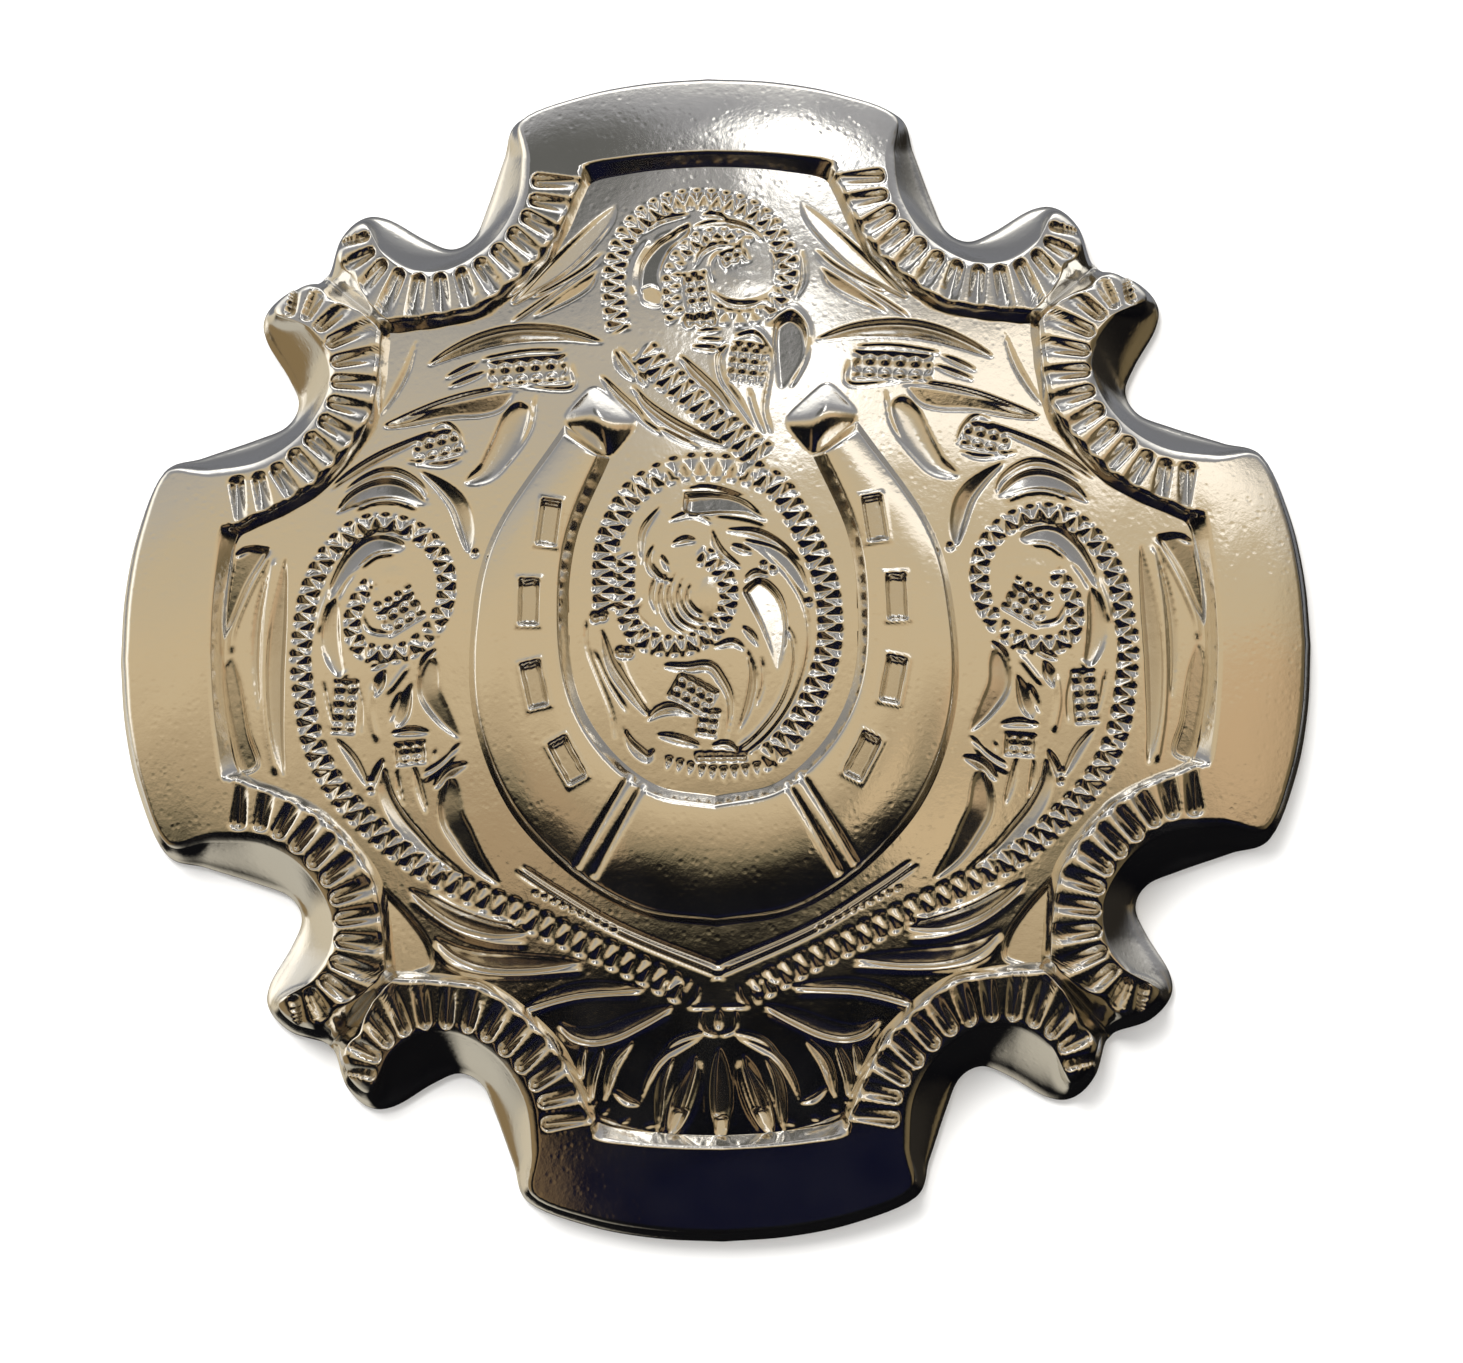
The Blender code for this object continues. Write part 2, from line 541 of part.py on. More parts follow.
def build_concho():
    foot, top = outline(NOTCH_FOOT, 0), outline(NOTCH_TOP, END_DRAFT)
    flare = foot + (top - foot) * FLARE_STATION
    step = eighth_to_loop(smooth(FIELD_TOP, 2))
    field = Relief(step, eighth_to_loop(smooth(FIELD_FOOT, 2)), 1, solid_core=True)
    reliefs = carving()
    face_lines = [(flare, True), (top, True)]
    for relief in [field] + reliefs:
        face_lines += relief.lines()
    front, front_faces, rim = sheet(
        foot, face_lines, lambda at: front_height(at, foot, top, field, reliefs)
    )

    mouth = step - sideways(np.vstack([step[-1:], step, step[:1]]))[1:-1] * HOLLOW_OUTSET
    hollow = Relief(mouth, step, 1, solid_core=True)
    rounds = (POST_RADIUS + POST_DRAFT, POST_RADIUS, HOLE_RADIUS, HOLE_RADIUS - HOLE_DRAFT)
    back_lines = hollow.lines() + [(circle(radius), True) for radius in rounds]
    back, back_faces, _ = sheet(front[:rim, :2], back_lines, lambda at: back_height(at, hollow))

    count = len(front)
    faces = front_faces.tolist() + (back_faces[:, ::-1] + count).tolist()
    for here in range(rim):
        beyond = (here + 1) % rim
        faces.append([here, here + count, beyond + count, beyond])
    mesh = bpy.data.meshes.new("concho")
    mesh.from_pydata((np.vstack([front, back]) * MM).tolist(), [], faces)
    form = bmesh.new()
    form.from_mesh(mesh)
    bmesh.ops.triangulate(form, faces=form.faces)
    bmesh.ops.recalc_face_normals(form, faces=form.faces)
    form.to_mesh(mesh)
    form.free()
    mesh.shade_smooth()
    mesh.set_sharp_from_angle(angle=math.radians(25))
    concho = bpy.data.objects.new("concho", mesh)
    bpy.context.scene.collection.objects.link(concho)
    return concho


def plated_casting():
    """Zinc casting with bright nickel plate, which reads as warm silver."""
    material = bpy.data.materials.new("nickel_plated_casting")
    material.use_nodes = True
    shader = material.node_tree.nodes["Principled BSDF"]
    shader.inputs["Base Color"].default_value = (0.80, 0.77, 0.72, 1)
    shader.inputs["Metallic"].default_value = 1.0
    shader.inputs["Roughness"].default_value = 0.18
    return material


for old in list(bpy.data.objects):
    bpy.data.objects.remove(old)
build_concho().data.materials.append(plated_casting())
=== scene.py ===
import math

import bpy
import numpy as np
from mathutils import Matrix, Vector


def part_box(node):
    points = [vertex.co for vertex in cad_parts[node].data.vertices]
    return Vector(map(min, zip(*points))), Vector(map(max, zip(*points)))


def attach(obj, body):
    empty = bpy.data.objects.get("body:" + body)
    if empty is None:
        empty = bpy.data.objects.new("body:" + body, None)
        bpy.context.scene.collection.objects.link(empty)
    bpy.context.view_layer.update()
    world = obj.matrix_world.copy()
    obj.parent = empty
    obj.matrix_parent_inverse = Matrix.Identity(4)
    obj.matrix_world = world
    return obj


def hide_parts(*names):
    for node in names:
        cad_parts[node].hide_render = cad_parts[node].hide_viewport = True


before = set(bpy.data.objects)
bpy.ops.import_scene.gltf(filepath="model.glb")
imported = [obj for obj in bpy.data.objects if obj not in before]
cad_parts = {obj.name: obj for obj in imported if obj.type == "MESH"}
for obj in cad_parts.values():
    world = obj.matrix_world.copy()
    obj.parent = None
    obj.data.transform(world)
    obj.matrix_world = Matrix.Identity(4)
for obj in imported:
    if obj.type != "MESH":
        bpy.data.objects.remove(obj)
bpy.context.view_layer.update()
mm = 0.001  # everything below is in millimetres, and becomes metres in the meshes
reachX, reachY = (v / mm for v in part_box("concho")[1][:2])

# Camera first: the photograph looks down on the face from a little below its middle
view = dict(
    tiltX=0.6, tiltY=7.0, roll=-0.751,  # degrees
    distance=230.0, aimX=0.504, aimY=-0.831,
    lens=177.83, sensor=36.0, nearest=10.0,
)


def aimed(place, back, roll=0.0):
    # World matrix of a camera or lamp at a place: it looks against the direction back, and its right and
    # up, which is towards +Y, are turned by the roll
    right = np.cross([0, 1, 0], back)
    right /= np.linalg.norm(right)
    up = np.cross(back, right)
    c, s = math.cos(roll), math.sin(roll)
    axes = np.column_stack([c * right + s * up, c * up - s * right, back])
    return Matrix([[*row, p] for row, p in zip(axes, place)] + [[0, 0, 0, 1]])


def makeCamera():
    # back runs from the aim to the camera, leaning by the two tilts
    tiltX, tiltY, roll = (math.radians(view[k]) for k in ("tiltX", "tiltY", "roll"))
    back = np.array([math.sin(tiltX), -math.sin(tiltY), 0.0])
    back[2] = math.sqrt(1 - back @ back)
    place = (np.array([view["aimX"], view["aimY"], 0]) + view["distance"] * back) * mm
    camera = bpy.data.objects.new("camera", bpy.data.cameras.new("camera"))
    camera.data.sensor_fit = "HORIZONTAL"
    camera.data.sensor_width = view["sensor"]
    camera.data.lens = view["lens"]
    camera.data.clip_start = view["nearest"] * mm
    camera.matrix_world = aimed(place, back, roll)
    bpy.context.scene.collection.objects.link(camera)
    bpy.context.scene.camera = camera


makeCamera()
print("camera ready")

# Plate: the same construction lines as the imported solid, one eighth from an arm's axis to the diagonal.
# The four lines have matching points, so the surface runs straight across from one to the next.
plate = dict(
    edgeLevel=1.0, domeRise=3.4, lip=0.35, wallFlare=1.45, wall=1.3,
    rimHeight=0.65, rollStart=15.0, roll=0.72,
    drawnReach=18.92, armRoot=14.0, endRadius=15.6, endDraft=0.22,
    foot=[17.52, 6.10, 16.24, 6.56, 14.57, 7.11, 13.59, 7.53, 13.20, 8.25, 13.52, 9.12,
          14.22, 10.33, 14.24, 11.12, 13.58, 11.81, 12.57, 12.14, 12.32, 12.32],
    top=[17.34, 5.95, 15.90, 5.92, 14.30, 6.08, 13.00, 6.85, 12.15, 8.15, 12.15, 9.35,
         12.90, 10.40, 13.85, 10.98, 13.42, 11.62, 12.50, 11.94, 12.15, 12.15],
    inner=[15.95, 0, 15.9, 1.3, 15.78, 2.7, 15.55, 3.95, 14.9, 4.35, 13.7, 4.85, 12.45, 5.7,
           11.1, 7.3, 10.8, 8.8, 10.75, 9.6, 10.73, 10, 10.72, 10.3, 10.72, 10.55, 10.72, 10.72],
    innerFoot=[15.45, 0, 15.4, 1.2, 15.26, 2.4, 15, 3.6, 14.5, 3.95, 13.35, 4.42, 12.1, 5.2,
               10.65, 6.95, 10.25, 8.5, 10.18, 9.3, 10.14, 9.6, 10.12, 9.85, 10.12, 10, 10.12, 10.12],
)


def pts(flat):
    # Rows of x and y from a flat list
    return np.array(flat, float).reshape(-1, 2)


def throughPoints(points, perSpan):
    # Catmull-Rom cubic through the points, perSpan new points in each span
    p = np.vstack([2 * points[0] - points[1], points, 2 * points[-1] - points[-2]])
    made = []
    for a, b, c, d, n in zip(p, p[1:], p[2:], p[3:], np.broadcast_to(perSpan, len(points) - 1)):
        t = np.linspace(0, 1, n, endpoint=False)[:, None]
        bend = (c - a) * t + (2*a - 5*b + 4*c - d) * t**2 + (3*b - a - 3*c + d) * t**3
        made.append(b + 0.5 * bend)
    return np.vstack(made + [points[-1:]])


def lengthAlong(path):
    # Distance from the path's start to each of its points
    return np.concatenate([[0], np.cumsum(np.linalg.norm(np.diff(path, axis=0), axis=1))])


def readOff(path, along, at):
    # The path's x and y where its measure along reaches each value of at
    return np.column_stack([np.interp(at, along, path[:, k]) for k in range(2)])


def evenly(points, step, finePerSpan=24):
    # The same curve with even steps along its length, read off a finer one
    fine = throughPoints(points, finePerSpan)
    along = lengthAlong(fine)
    return readOff(fine, along, np.linspace(0, along[-1], max(2, round(along[-1] / step) + 1)))


def stretched(p):
    # Moves what lies out on the arms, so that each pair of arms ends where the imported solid's does
    moved = p.copy()
    armLength = plate["drawnReach"] - plate["armRoot"]
    for k, reach in enumerate((reachX, reachY)):
        share = np.clip((np.abs(p[..., k]) - plate["armRoot"]) / armLength, 0, 1)
        moved[..., k] += np.sign(p[..., k]) * share * (reach - plate["drawnReach"])
    return moved


def dome(p):
    # Field level: a paraboloid from domeRise above edgeLevel in the middle down to it at the arms' ends
    return plate["edgeLevel"] + plate["domeRise"] * (1 - (p**2).sum(axis=-1) / max(reachX, reachY)**2)


def rimLevel(p):
    # The rim stands rimHeight proud of the field and rolls off towards the plate's edge
    r = np.hypot(p[..., 0], p[..., 1])
    roll = np.clip((r - plate["rollStart"]) / (reachX - plate["rollStart"]), 0, 1)
    return dome(p) + plate["rimHeight"] * (1 - plate["roll"] * roll**2)


def ripples(p, size, seed, waves=7):
    # Soft unevenness between -1 and 1: the mean of sine waves in random directions, each about size long
    rng = np.random.default_rng(seed)
    turns, phases = rng.uniform(0, 6.28, waves), rng.uniform(0, 6.28, waves)
    total = 0
    for turn, phase, stretch in zip(turns, phases, rng.uniform(0.7, 1.6, waves)):
        along = p[..., 0] * math.cos(turn) + p[..., 1] * math.sin(turn)
        total = total + np.sin(along * 6.28 / size / stretch + phase)
    return total / waves


def noteSegment(p, path, k, start, best, along, aside):
    # Where segment k is the nearest so far, notes for points p the distance along the path and the one
    # to its left (positive) or right. Both ends run on straight, so that a band ends square there
    a, b = path[k], path[k + 1]
    length = math.dist(a, b)
    dx, dy = (b - a) / length
    px, py = p[..., 0] - a[0], p[..., 1] - a[1]
    t, left = px * dx + py * dy, py * dx - px * dy
    lowest, highest = -np.inf if k == 0 else 0, np.inf if k == len(path) - 2 else length
    near = (t - np.clip(t, lowest, highest))**2 + left**2
    nearer = near < best
    best[nearer] = near[nearer]
    along[nearer] = start + t[nearer]
    aside[nearer] = (np.sign(left + 1e-12) * np.sqrt(near))[nearer]
    return start + length


def alongPath(p, path):
    # For points p: distance along the path and aside of it, and the path's length
    best = np.full(p.shape[:-1], np.inf)
    along, aside, total = np.zeros_like(best), np.zeros_like(best), 0.0
    for k in range(len(path) - 1):
        total = noteSegment(p, path, k, total, best, along, aside)
    return along, aside, total


# Pieces are grids of points; these make faces and meshes from them
def gridFaces(rows, wrap=False):
    # Quads between rows of point numbers, facing the side from which rows go up and columns right
    if wrap:
        rows = np.hstack([rows, rows[:, :1]])
    a, b = rows[:-1], rows[1:]
    return np.stack([a[:, :-1], a[:, 1:], b[:, 1:], b[:, :-1]], axis=-1).reshape(-1, 4)


def stitchFaces(fine, coarse):
    # One face from each coarse step to the run of fine steps beside it, round a closed ring
    ratio = len(fine) // len(coarse)
    runs = np.append(fine, fine[0])[np.arange(len(coarse))[:, None] * ratio + np.arange(ratio + 1)]
    return np.hstack([runs, np.roll(coarse, -1)[:, None], coarse[:, None]])


def makePiece(name, points, smoothFaces, flatFaces, recess):
    # An object from points in millimetres and groups of faces, each group with one number of corners.
    # recess goes from 0 where the buff polished the plate to 1 where it didn't reach; it also darkens the
    # colour there as painted shade
    groups = smoothFaces + flatFaces
    corners = np.concatenate([g.ravel() for g in groups]).astype(np.int32)
    sizes = np.concatenate([np.full(len(g), g.shape[1]) for g in groups])
    mesh = bpy.data.meshes.new(name)
    mesh.vertices.add(len(points))
    mesh.vertices.foreach_set("co", (points * mm).astype(np.float32).ravel())
    mesh.loops.add(len(corners))
    mesh.loops.foreach_set("vertex_index", corners)
    mesh.polygons.add(len(sizes))
    mesh.polygons.foreach_set("loop_start", (np.cumsum(sizes) - sizes).astype(np.int32))
    mesh.polygons.foreach_set("use_smooth", np.arange(len(sizes)) < sum(len(g) for g in smoothFaces))
    mesh.update(calc_edges=True)
    # Edges of flat faces are sharp, so that the smooth ones beside them keep their own normals
    flatPoints = np.zeros(len(points), bool)
    flatPoints[np.concatenate([g.ravel() for g in flatFaces])] = True
    ends = np.empty(len(mesh.edges) * 2, np.int32)
    mesh.edges.foreach_get("vertices", ends)
    mesh.edges.foreach_set("use_edge_sharp", flatPoints[ends].reshape(-1, 2).all(axis=1))
    mark = mesh.attributes.new("recess", "FLOAT", "POINT")
    mark.data.foreach_set("value", recess.astype(np.float32))
    piece = bpy.data.objects.new(name, mesh)
    bpy.context.scene.collection.objects.link(piece)
    piece.data.materials.append(nickelPlate)
    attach(piece, "root")
    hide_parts("concho")
    print(name, "has", int((sizes - 2).sum()), "triangles")


# Finish: bright nickel plate over a die-cast, bobbed and buffed zinc blank. Mirror-like on the high
# places, duller in the cuts, which the buff can't reach, and darker there with painted shade; fine pits
# where the casting was porous, drawn coarser than real ones so that they show, and soft waves left by the
# buff.
finish = dict(
    bright="#ebe7df", dullAndShade="#d6d2ca",
    roughness=(0.08, 0.135), dullRoughness=0.2,
    hazeSize=1.8, hazeRange=(0.35, 0.7),
    pitSize=0.35, pitDepth=0.006, sparkSize=0.3, sparkEdge=0.35,
    wave=0.012, waveSize=2.6, waveSeed=5,
)


def linear(hexColour):
    # sRGB hex to linear RGBA
    s = np.array([int(hexColour[k:k + 2], 16) for k in (1, 3, 5)]) / 255
    return (*np.where(s <= 0.04045, s / 12.92, ((s + 0.055) / 1.055)**2.4), 1.0)


def addNode(tree, kind, inputs=None, **settings):
    # A node with its settings; an input may be a value or another node's output
    node = tree.nodes.new(kind)
    for key, value in settings.items():
        setattr(node, key, value)
    for key, value in (inputs or {}).items():
        if isinstance(value, bpy.types.NodeSocket):
            tree.links.new(value, node.inputs[key])
        else:
            node.inputs[key].default_value = value
    return node


def makeNickelPlate():
    # Noise patterns on Object coordinates, scaled from millimetres, mixed by the recess of each point
    material = bpy.data.materials.new("bright_nickel_plate")
    material.use_nodes = True
    tree = material.node_tree
    shader = tree.nodes["Principled BSDF"]
    place = addNode(tree, "ShaderNodeTexCoord").outputs["Object"]
    recess = addNode(tree, "ShaderNodeAttribute", attribute_name="recess").outputs["Fac"]
    perMetre = 1 / mm
    haze = addNode(tree, "ShaderNodeTexNoise", {
        "Vector": place, "Scale": perMetre / finish["hazeSize"], "Detail": 3.0}).outputs["Fac"]
    pits = addNode(tree, "ShaderNodeTexNoise", {
        "Vector": place, "Scale": perMetre / finish["pitSize"], "Detail": 4.0,
        "Roughness": 0.65}).outputs["Fac"]
    spark = addNode(tree, "ShaderNodeTexVoronoi", {
        "Vector": place, "Scale": perMetre / finish["sparkSize"]}).outputs["Distance"]
    # Painted shade: darker in the cuts, where the plate is also duller, with a little unevenness
    shadeAndDullShare = addNode(tree, "ShaderNodeMath", {0: recess, 1: haze, 2: recess}, operation="MULTIPLY_ADD")
    tintWithShade = addNode(tree, "ShaderNodeMix", {
        0: shadeAndDullShare.outputs[0], 6: linear(finish["bright"]), 7: linear(finish["dullAndShade"])}, data_type="RGBA")
    tree.links.new(tintWithShade.outputs[2], shader.inputs["Base Color"])
    # Roughness: buffed places are the smoothest, cuts are satin
    (hazeLow, hazeHigh), (smooth, rough) = finish["hazeRange"], finish["roughness"]
    uneven = addNode(tree, "ShaderNodeMapRange", {
        "Value": haze, 1: hazeLow, 2: hazeHigh, 3: smooth, 4: rough}).outputs[0]
    satin = addNode(tree, "ShaderNodeMix", {0: recess, 2: uneven, 3: finish["dullRoughness"]}).outputs[0]
    tree.links.new(satin, shader.inputs["Roughness"])
    shader.inputs["Metallic"].default_value = 1.0
    # Relief: soft orange peel from the noise, and small round pits
    pit = addNode(tree, "ShaderNodeMapRange", {
        "Value": spark, 1: 0.0, 2: finish["sparkEdge"], 3: 0.0, 4: 1.0}).outputs[0]
    level = addNode(tree, "ShaderNodeMath", {0: pits, 1: pit}, operation="MULTIPLY").outputs[0]
    bump = addNode(tree, "ShaderNodeBump", {
        "Height": level, "Strength": 1.0, "Distance": finish["pitDepth"] * mm}).outputs[0]
    tree.links.new(bump, shader.inputs["Normal"])
    return material


nickelPlate = makeNickelPlate()
print("plate material ready")

# Body: rim, crescents, walls and hollow back in one closed skin
body = dict(
    arcSteps=18, notchSteps=(20, 17, 20, 22, 22, 18, 22, 20, 16, 8),
    wallRows=(0, .15, .3, .45, .6, .75, .87, .95, 1), bandRows=36, stepRows=6,
    sunk=0.03, buried=0.45,
    edgeDrop=0.05, edgeWidth=0.08,  # the band's outer edge is just broken at the arms' ends
    lipDrop=0.15, lipWidth=0.3, narrowStep=0.45, easeStations=10,  # and rounded over along the notches
    # The wall and slot shares below dull the plate and darken it with painted shade
    edgePower=1.6, wallDullAndShade=0.1, slotDullAndShade=0.7,
    ribPitch=0.76, ribSlot=0.34, ribDepth=0.26, ribEdge=1.2, ribFade=0.3, ribLip=0.5, ribSoft=0.25,
    ribLean=0.8, ribDeepest=1.4, ribShallowest=0.35,  # shares of the depth, the first per millimetre
    ribLine=[15.35, 5, 13.9, 5.25, 12.65, 6.2, 11.72, 7.4, 11.42, 8.8, 11.6, 9.85, 12.05, 10.65,
             12.65, 11.15, 13.35, 11.35],
    ribLineStep=0.2, ribStart=0.1, clearOfValley=0.7, clearWidth=0.15,
    seamHalf=0.2, seamDepth=0.3,
    valley=1.0, valleyStart=15.2, valleyRun=1.4, valleyHalf=0.1, valleyGrowth=0.6,
    backSkip=7, backRows=9, hollowOutset=0.9, postRadius=3.585, postDraft=0.3, postRecess=0.3,
    holeRadius=2.085, holeEnd=3.06,
    threadPitch=0.794, threadDepth=0.12, threadRows=34, threadRunOut=0.2,
)


def ribbedLevel(p):
    # Slots across each crescent: round-ended on the notch's side, open towards the field, ribDepth deep,
    # with raised tongues left between them and a plain lip along the notch
    along, aside, length = alongPath(p, evenly(pts(body["ribLine"]), body["ribLineStep"]))
    radius = body["ribSlot"] / 2
    beside = np.abs((along / body["ribPitch"]) % 1 - 0.5) * body["ribPitch"]
    beyond = np.maximum(-aside - (body["ribLip"] - radius), 0)
    slot = np.clip((radius - np.hypot(beside, beyond)) / body["ribSoft"] + 0.5, 0, 1)
    fade = np.clip((body["ribEdge"] - aside) / body["ribFade"], 0, 1)
    # A seam runs down the diagonal, between neighbouring crescents, and opens into a valley between
    # their ears. Both go by the distances off and along the diagonal
    off, out = np.abs(p[..., 0] - p[..., 1]) / 1.414, (p[..., 0] + p[..., 1]) / 1.414
    seam = np.clip(1 - off / body["seamHalf"], 0, 1)
    opening = np.clip((out - body["valleyStart"]) / body["valleyRun"], 0, 1)
    width = body["valleyHalf"] + body["valleyGrowth"] * opening
    valley = (0.5 + 0.5 * np.cos(math.pi * np.clip(off / width, 0, 1))) * opening
    clear = np.clip((off - body["clearOfValley"] * width) / body["clearWidth"], 0, 1)
    slot = slot * fade * (along > body["ribStart"]) * (along < length) * clear
    slot = slot * slot * (3 - 2 * slot)
    # Slots are deepest at the notch's end, so their floors lean outwards
    deep = body["ribDeepest"] - body["ribLean"] * (aside + body["ribLip"])
    deep = body["ribDepth"] * np.clip(deep, body["ribShallowest"], body["ribDeepest"])
    level = rimLevel(p) - deep * slot - body["seamDepth"] * seam - body["valley"] * valley
    return level, np.maximum(slot, seam)


def eighthToRing(eighth):
    # Points or values on one eighth of the ring, rows first: mirrored at the diagonal, then turned four
    # times. The last station of each quarter is the next one's first
    mirror = eighth[:, :-1][:, ::-1]
    if eighth.ndim == 2:
        return np.hstack([np.hstack([eighth, mirror])[:, :-1]] * 4)
    quarter = np.concatenate([eighth, mirror[..., ::-1]], axis=1)[:, :-1]
    turns = [np.array([[c, s], [-s, c]]) for c, s in ((1, 0), (0, 1), (-1, 0), (0, -1))]
    return np.concatenate([quarter @ turn for turn in turns], axis=1)


def frontEighth():
    # Rows from the foot up the wall, over the band and down the step to below the field. Each row mixes
    # two of the four construction lines
    angles = np.linspace(0, math.asin(plate["foot"][1] / plate["endRadius"]), 4)[:-1]
    arcs = []
    for inset in (0, plate["endDraft"]):
        x = plate["drawnReach"] - inset - plate["endRadius"] * (1 - np.cos(angles))
        arcs.append(np.column_stack([x, plate["endRadius"] * np.sin(angles)]))
    steps = [body["arcSteps"] // 3] * 3 + list(body["notchSteps"])
    drawn = [np.vstack([arcs[0], pts(plate["foot"])]), np.vstack([arcs[1], pts(plate["top"])]),
             pts(plate["inner"]), pts(plate["innerFoot"])]
    foot, top, inner, innerFoot = (throughPoints(points, steps) for points in drawn)
    upWall = np.array(body["wallRows"])[:, None, None]
    overBand = np.linspace(0, 1, body["bandRows"])[1:, None, None]
    downStep = np.linspace(0, 1, body["stepRows"])[1:, None, None]
    wall = foot + (top - foot) * upWall
    band = top + (inner - top) * overBand
    step = inner + (innerFoot - inner) * downStep
    plan = np.concatenate([foot[None], wall, band, step, innerFoot[None]])

    level, slot = ribbedLevel(np.concatenate([wall[-1:], band, step[:-1]]))
    level = np.vstack([level, dome(innerFoot)[None] - body["sunk"]])
    slot = np.vstack([slot, np.zeros_like(slot[:1])])
    # The step down to the field is steeper along the notches
    notch = np.clip((np.arange(len(top)) - body["arcSteps"]) / body["easeStations"], 0, 1)
    start = body["narrowStep"] * notch
    fall = np.concatenate([np.zeros(len(band) + 1), downStep.ravel()])[:, None]
    fall = np.clip((fall - start) / (1 - start), 0, 1)
    ground = dome(np.concatenate([wall[-1:], band, step]))
    rise = ground + (level - ground) * (1 - fall) - body["sunk"] * fall
    # The band's outer edge falls off by a power of the nearness to it
    fromEdge = np.linalg.norm(np.concatenate([wall[-1:], band]) - top, axis=-1)
    width = body["edgeWidth"] + (body["lipWidth"] - body["edgeWidth"]) * notch
    drop = body["edgeDrop"] + (body["lipDrop"] - body["edgeDrop"]) * notch
    rise[:len(fromEdge)] -= drop * np.clip(1 - fromEdge / width, 0, 1)**body["edgePower"]
    wallRise = plate["lip"] + (rise[0] - plate["lip"]) * (upWall[..., 0] ** plate["wallFlare"])
    height = np.vstack([np.zeros(len(foot)), wallRise[:-1], rise, dome(innerFoot) - body["buried"]])
    # Walls and slots are duller, and darker with painted shade
    dullAndShade = np.vstack([
        np.full((len(wall), len(foot)), body["wallDullAndShade"]), slot * body["slotDullAndShade"],
        np.zeros((1, len(foot)))])
    return plan, height, dullAndShade, inner


def makeBody():
    # The eighth is turned round the plate. Its edge under the field is stitched to a coarse cap, and its
    # foot to the coarse rings of the hollow back, which end in the post and its threaded hole
    plan, height, dullAndShade, inner = frontEighth()
    plan, height, dullAndShade = stretched(eighthToRing(plan)), eighthToRing(height), eighthToRing(dullAndShade)
    topRow = len(body["wallRows"])
    height[topRow + 1:-1] += finish["wave"] * ripples(
        plan[topRow + 1:-1], finish["waveSize"], finish["waveSeed"])
    rings, ringDullAndShade = [np.dstack([plan, height])], [dullAndShade]

    def addRing(p, z, recess):
        # One more ring of points at the level z, duller and darker with painted shade by its recess
        rings.append(np.dstack([p[None], np.broadcast_to(z, (1, len(p)))]))
        ringDullAndShade.append(np.full((1, len(p)), recess))

    coarse = slice(None, None, body["backSkip"])
    inner = stretched(eighthToRing(inner[None]))[0]
    out = plan[topRow] - inner
    out = (out / np.linalg.norm(out, axis=1)[:, None])[coarse]
    inner = inner[coarse]
    heading = np.arctan2(inner[:, 1], inner[:, 0])
    unit = np.column_stack([np.cos(heading), np.sin(heading)])
    cap = plan[-1][coarse] * 0.5
    addRing(cap, dome(cap) - body["buried"], 0)
    addRing(inner + out * body["hollowOutset"], 0, 0.5)
    for share in np.linspace(0, 1, body["backRows"]):
        under = inner * (1 - share) + unit * (body["postRadius"] + body["postDraft"]) * share
        addRing(under, dome(under) - plate["wall"], 0.8)
    addRing(unit * body["postRadius"], body["postRecess"], 0.5)
    addRing(unit * body["holeRadius"], body["postRecess"], 0.5)
    # The thread's radius goes in and out once in a pitch of height or a turn, and runs out at both ends
    for z in np.linspace(body["postRecess"], body["holeEnd"], body["threadRows"]):
        wave = np.abs(((z / body["threadPitch"] - heading / 6.2832) % 1) * 2 - 1)
        fade = min(1, min(z - body["postRecess"], body["holeEnd"] - z) / body["threadRunOut"])
        addRing(unit * (body["holeRadius"] - body["threadDepth"] * wave * fade)[:, None], z, 0.7)

    points = np.concatenate([r.reshape(-1, 3) for r in rings])
    ends = np.cumsum([r[..., 0].size for r in rings])[:-1]
    number = [n.reshape(r.shape[:2]) for n, r in zip(np.split(np.arange(len(points)), ends), rings)]
    outer, cap, back = number[0], number[1], np.vstack(number[2:])
    faces = [gridFaces(outer, wrap=True), gridFaces(back, wrap=True)[:, ::-1]]
    flat = [stitchFaces(outer[-1], cap[0]), cap,
            stitchFaces(outer[0], back[0])[:, ::-1], back[-1:, ::-1]]
    makePiece("concho_body", points, faces, flat, np.concatenate([d.ravel() for d in ringDullAndShade]))


makeBody()

# Horseshoe: drafted edge, crowned top, nail holes, two bars across each side of the toe
shoe = dict(
    height=0.45, crown=0.16, outerDraft=0.24, innerDraft=0.42, endDraft=0.3, sunk=0.03, buried=0.45,
    profile=([0, 0.78, 0.92, 1.05, 1.3], [0, 0.8, 0.93, 0.985, 1]),  # share of height over the draft
    readStep=0.02, stations=229, rows=44, edgeRows=9, edgeShare=0.13, waveSize=2.4, waveSeed=8,
    outer=[0, -9, 2.4, -8.6, 4.6, -7.3, 6.5, -5.2, 7.55, -2.4, 7.6, 0.6, 6.9, 3.5, 4.6, 6.95],
    inner=[0, -4.9, 1.9, -4.5, 3.4, -3.2, 4.3, -1.4, 4.5, 0.9, 4.2, 3.3, 3.15, 5.8],
    nails=[(5.1, 3.7, 8), (5.75, 1.2, 2), (5.6, -1.4, -12), (4.6, -3.8, -28)],  # middle and lean
    nailLength=1.42, nailWidth=0.64, nailDepth=0.42, nailWall=0.09, nailDullAndShade=0.5,
    burr=0.035, burrWidth=0.06, burrAway=0.05,
    bars=[(2.62, -4.25, 4.45, -7.25), (2.2, -4.55, 3.9, -7.5)],
    barHalf=0.1, barDepth=0.12, barTaper=0.2, barDullAndShade=0.4,
)


